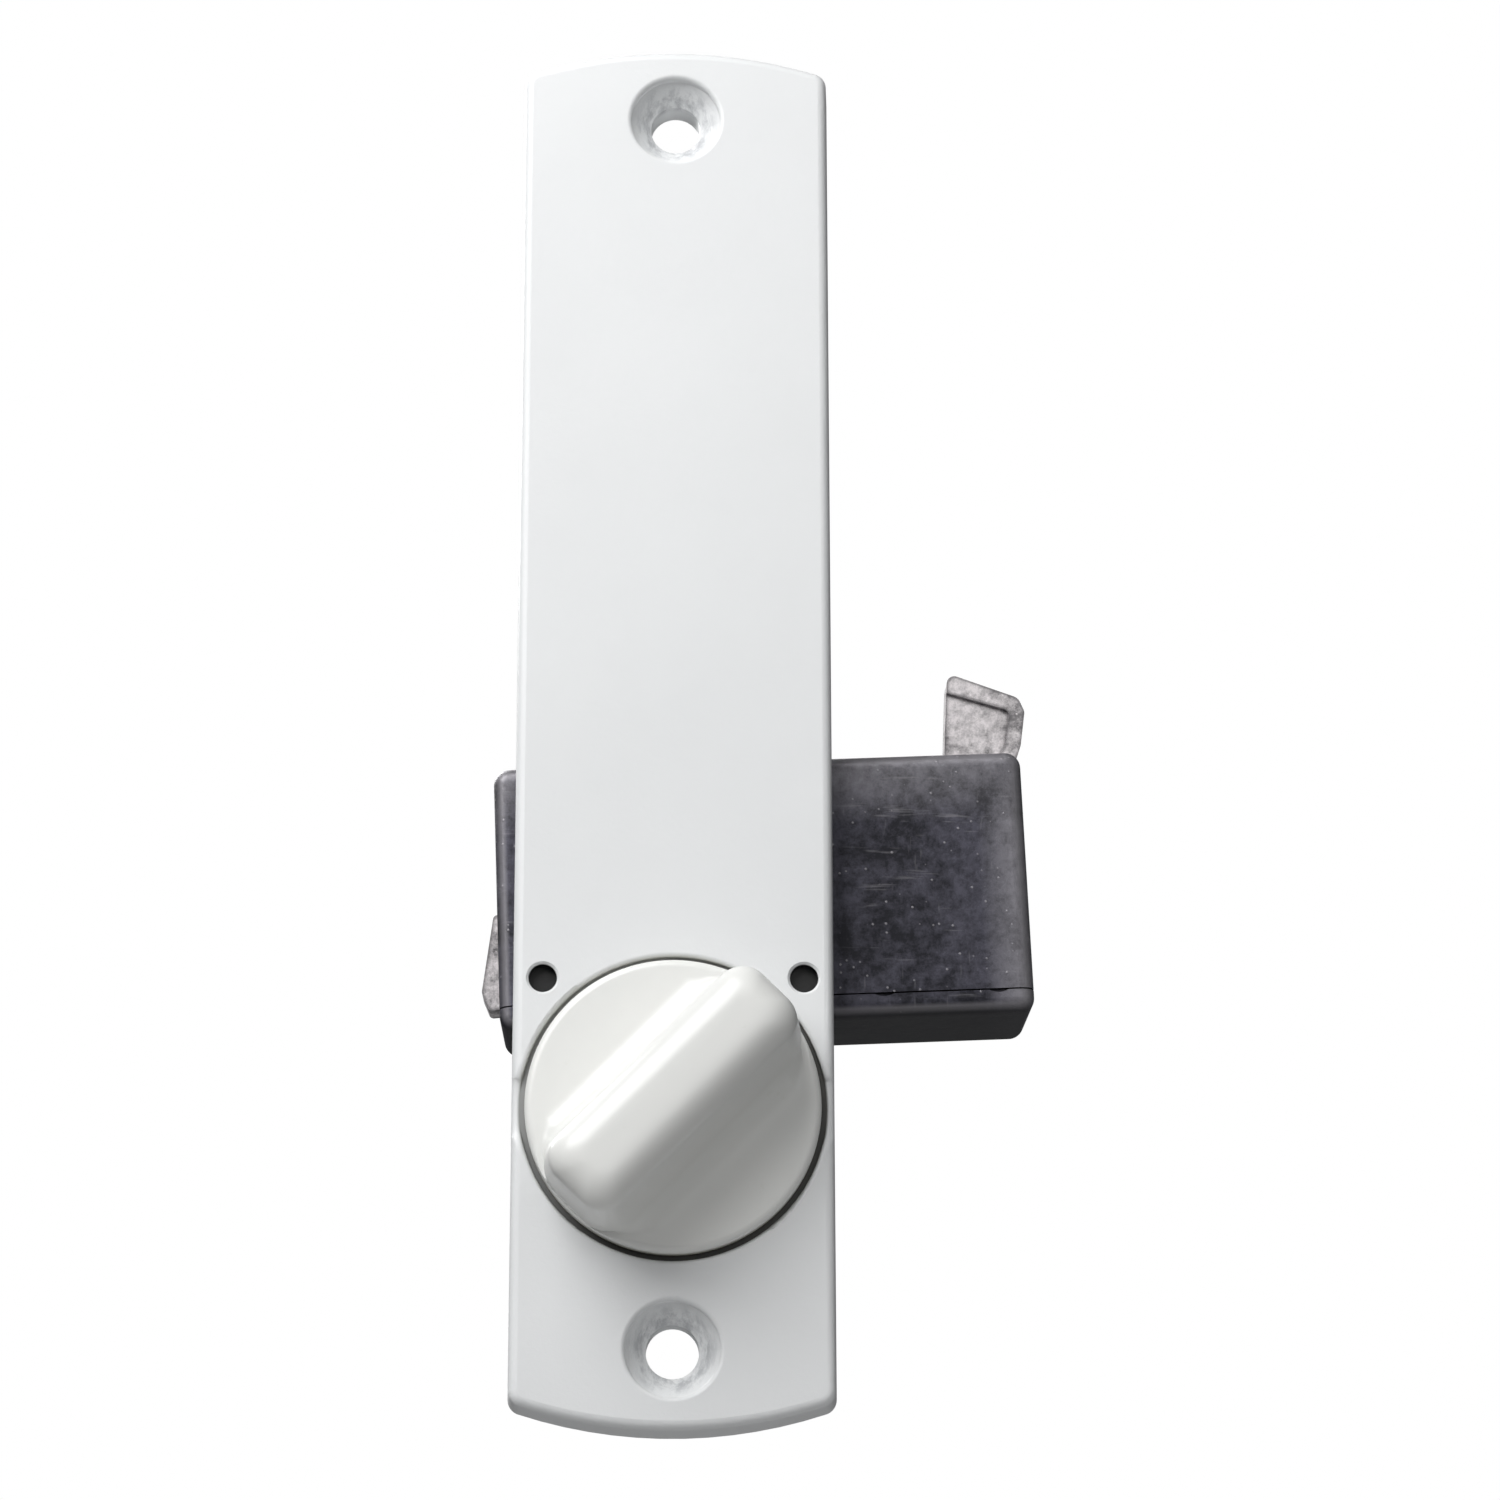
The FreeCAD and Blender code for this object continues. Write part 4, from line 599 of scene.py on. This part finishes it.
# %% One ring
def bar_ring(length, width, corner):
    """A rounded bar's outline from its half length, half width and corner radius. One quarter is an
    end, a quarter circle and a side, and the others are its mirror images. Gives the points and the
    outward direction at each."""
    rise = np.linspace(0, width - corner, END_POINTS, False)
    end = np.stack([np.full(END_POINTS, length), rise], -1)
    angle = np.linspace(0, np.pi / 2, CORNER_POINTS, False)
    way = np.stack([np.cos(angle), np.sin(angle)], -1)
    turn = np.array([length - corner, width - corner]) + way * corner
    run = np.linspace(length - corner, 0, SIDE_POINTS, False)
    side = np.stack([run, np.full(SIDE_POINTS, width)], -1)
    quarter = np.concatenate([end, turn, side])
    out = np.concatenate([np.tile([1.0, 0.0], (END_POINTS, 1)), way,
                          np.tile([0.0, 1.0], (SIDE_POINTS, 1))])
    left, both = np.array([-1.0, 1.0]), np.array([-1.0, -1.0])
    middle, middle_out = np.array([[0.0, width]]), np.array([[0.0, 1.0]])
    half = np.concatenate([quarter, middle, quarter[:0:-1] * left])
    half_out = np.concatenate([out, middle_out, out[:0:-1] * left])
    return np.concatenate([half, half * both]), np.concatenate([half_out, half_out * both])


print("one ring has", len(bar_ring(TOP_LENGTH, TOP_WIDTH, FOOT_CORNER)[0]), "points")

# %% [markdown]
# ## The grip, from its crown to its foot
# A hand feels no edge on a moulded grip: its top rolls over into the sides, and the sides run out
# into the disc. Both are quarter circles here, with a straight, slightly leaning wall between.

# %% Grip rings
class Rings:
    """The rings of the skin in order, each with its height along Y."""

    def __init__(self):
        self.outlines, self.heights = [], []

    def add(self, outline, height):
        """Put one more ring after the last."""
        self.outlines.append(outline)
        self.heights.append(np.full(len(outline), height))


def grip_rings(rings):
    """From the grip's top outward: the crown grows at nearly one height, the shoulder follows a
    quarter circle, the wall leans out evenly, and the foot flares along another quarter circle."""
    crown_corner = (TOP_WIDTH - SHOULDER) * CROWN_CORNER
    for share in np.linspace(FIRST_SHARE, 1.0, CROWN_RINGS):
        half = (TOP_LENGTH - SHOULDER) * share, (TOP_WIDTH - SHOULDER) * share
        rings.add(bar_ring(*half, half[1] * CROWN_CORNER)[0], GRIP_TOP + CROWN_DROP * share ** 2)
    for turn in np.linspace(0, np.pi / 2, SHOULDER_RINGS)[1:]:
        out = SHOULDER * (np.sin(turn) - 1)
        corner = crown_corner + SHOULDER * np.sin(turn) / 2
        rings.add(bar_ring(TOP_LENGTH + out, TOP_WIDTH + out, corner)[0],
                  GRIP_TOP + CROWN_DROP + (SHOULDER - CROWN_DROP) * (1 - np.cos(turn)))
    top_corner = crown_corner + SHOULDER / 2
    foot = GRIP_TOP + SHOULDER, DISC_FACE - FLARE
    for share in np.linspace(0, 1, WALL_RINGS)[1:]:
        last, way = bar_ring(TOP_LENGTH + (FOOT_LENGTH - TOP_LENGTH) * share,
                             TOP_WIDTH + (FOOT_WIDTH - TOP_WIDTH) * share,
                             top_corner + (FOOT_CORNER - top_corner) * share)
        rings.add(last, foot[0] + (foot[1] - foot[0]) * share)
    room = DISC_RADIUS - DISC_ROUND - np.linalg.norm(last, axis=1)
    wide = np.clip(room, LEAST_FLARE, FLARE)
    for turn in np.linspace(0, np.pi / 2, FLARE_RINGS)[1:]:
        outline = last + way * (wide * (1 - np.cos(turn)))[:, None]
        rings.add(outline, foot[1] + FLARE * np.sin(turn))


rings = Rings()
grip_rings(rings)
print("grip:", len(rings.outlines), "rings")

# %% [markdown]
# ## The disc, its neck and the socket
# Behind the disc a round neck runs through the plate, with a groove for the clip that holds it and
# a square socket for the spindle. The rings turn from the grip's outline into circles on the flat
# of the disc, and from there each is a circle until the socket's square.

# %% Disc, neck and socket rings
def disc_rings(rings):
    """On the flat, each ring is a share of the way from the grip's outline to a circle, in both
    angle and reach. The disc's edge is a quarter circle. The neck and its groove are steps in
    radius. The socket's reach is its half side over the larger of the cosine and the sine."""
    start = rings.outlines[-1]
    count = len(start)
    angle = np.unwrap(np.arctan2(start[:, 1], start[:, 0]))
    reach = np.linalg.norm(start, axis=1)
    even = angle[0] + np.arange(count) / count * 2 * np.pi
    flat = np.maximum(DISC_RADIUS - DISC_ROUND, reach)
    for share in np.linspace(0, 1, FLAT_RINGS)[1:]:
        now = angle + (even - angle) * share
        radius = reach + (flat - reach) * share
        rings.add(np.stack([np.cos(now), np.sin(now)], -1) * radius[:, None], DISC_FACE)
    rim = DISC_RADIUS - flat
    circle = np.stack([np.cos(even), np.sin(even)], -1)
    for turn in np.linspace(0, np.pi / 2, SHOULDER_RINGS)[1:]:
        rings.add(circle * (flat + rim * np.sin(turn))[:, None],
                  DISC_FACE + DISC_ROUND * (1 - np.cos(turn)))
    groove = CLIP_LOW.y - FIT_GAP, CLIP_HIGH.y + FIT_GAP
    for radius, height in ((DISC_RADIUS, DISC_BACK), (NECK_RADIUS, DISC_BACK), (NECK_RADIUS, groove[0]),
                           (GROOVE_RADIUS, groove[0]), (GROOVE_RADIUS, groove[1]),
                           (NECK_RADIUS, groove[1]), (NECK_RADIUS, NECK_END)):
        rings.add(circle * radius, height)
    upright = even + GRIP_ANGLE
    half = (BAR_HIGH.x - BAR_LOW.x) / 2 + FIT_GAP
    square = circle * (half / np.maximum(np.abs(np.cos(upright)), np.abs(np.sin(upright))))[:, None]
    for height in (NECK_END, BAR_LOW.y - FIT_GAP):
        rings.add(square, height)


disc_rings(rings)
print("knob:", len(rings.outlines), "rings")

# %% [markdown]
# ## Close the skin
# A printed or moulded part has no open edge. Quads join the rings, and a fan of triangles closes
# each end: one at the middle of the crown, one at the bottom of the socket. The signed volume then
# tells whether the faces look outward, which can't be seen in a picture.

# %% Closed skin
def closed_rings(name, points):
    """A closed mesh from rings of points: quads join each ring to the next, and a fan of triangles
    round one middle point closes each end. Corners run so that the faces look outward."""
    rings, count = points.shape[:2]
    index = np.arange(rings * count).reshape(rings, count)
    after = np.roll(index, -1, axis=1)
    quads = np.stack([index[:-1], index[1:], after[1:], after[:-1]], axis=-1).reshape(-1, 4)
    front, back = rings * count, rings * count + 1
    first = np.stack([np.full(count, front), index[0], after[0]], axis=-1)
    last = np.stack([np.full(count, back), after[-1], index[-1]], axis=-1)
    ends = np.stack([points[0].mean(axis=0), points[-1].mean(axis=0)])
    mesh = bpy.data.meshes.new(name)
    mesh.from_pydata(np.concatenate([points.reshape(-1, 3), ends]).tolist(), [],
                     quads.tolist() + first.tolist() + last.tolist())
    mesh.polygons.foreach_set("use_smooth", np.full(len(mesh.polygons), True))
    mesh.set_sharp_from_angle(angle=SHARP_ANGLE)
    mesh.update()
    return mesh


def volume_of(mesh):
    """The signed volume, one third of the sum of each face's middle times its normal times its area.
    It is above zero where the faces look outward."""
    count = len(mesh.polygons)
    middle, normal, area = np.empty(count * 3), np.empty(count * 3), np.empty(count)
    mesh.polygons.foreach_get("center", middle)
    mesh.polygons.foreach_get("normal", normal)
    mesh.polygons.foreach_get("area", area)
    return float(((middle * normal).reshape(-1, 3).sum(axis=1) * area).sum() / 3)


# %% [markdown]
# ## Put the knob in place
# The rings were laid out with the grip along X. Here they are turned to the grip's angle and moved
# to the knob's axis, in the mesh itself, so that the object stays at the origin.

# %% Knob in place
def make_knob(rings):
    """Each point is turned about Y by the grip's angle and moved by the axis's place."""
    outlines, heights = np.array(rings.outlines), np.array(rings.heights)
    cos, sin = math.cos(GRIP_ANGLE), math.sin(GRIP_ANGLE)
    x = outlines[..., 0] * cos - outlines[..., 1] * sin + KNOB_AXIS.x
    z = outlines[..., 0] * sin + outlines[..., 1] * cos + KNOB_AXIS.z
    points = np.stack([x, heights, z], axis=-1)
    return link("knob_skin", closed_rings("knob_skin", points))


knob = make_knob(rings)
knob.data.materials.append(FINISHES["knob_white"])
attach(knob, "thumb_knob")
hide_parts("knob")
print("knob skin:", len(knob.data.polygons), "faces,",
      round(volume_of(knob.data) / MM ** 3), "cubic millimetres, above zero when it looks outward")
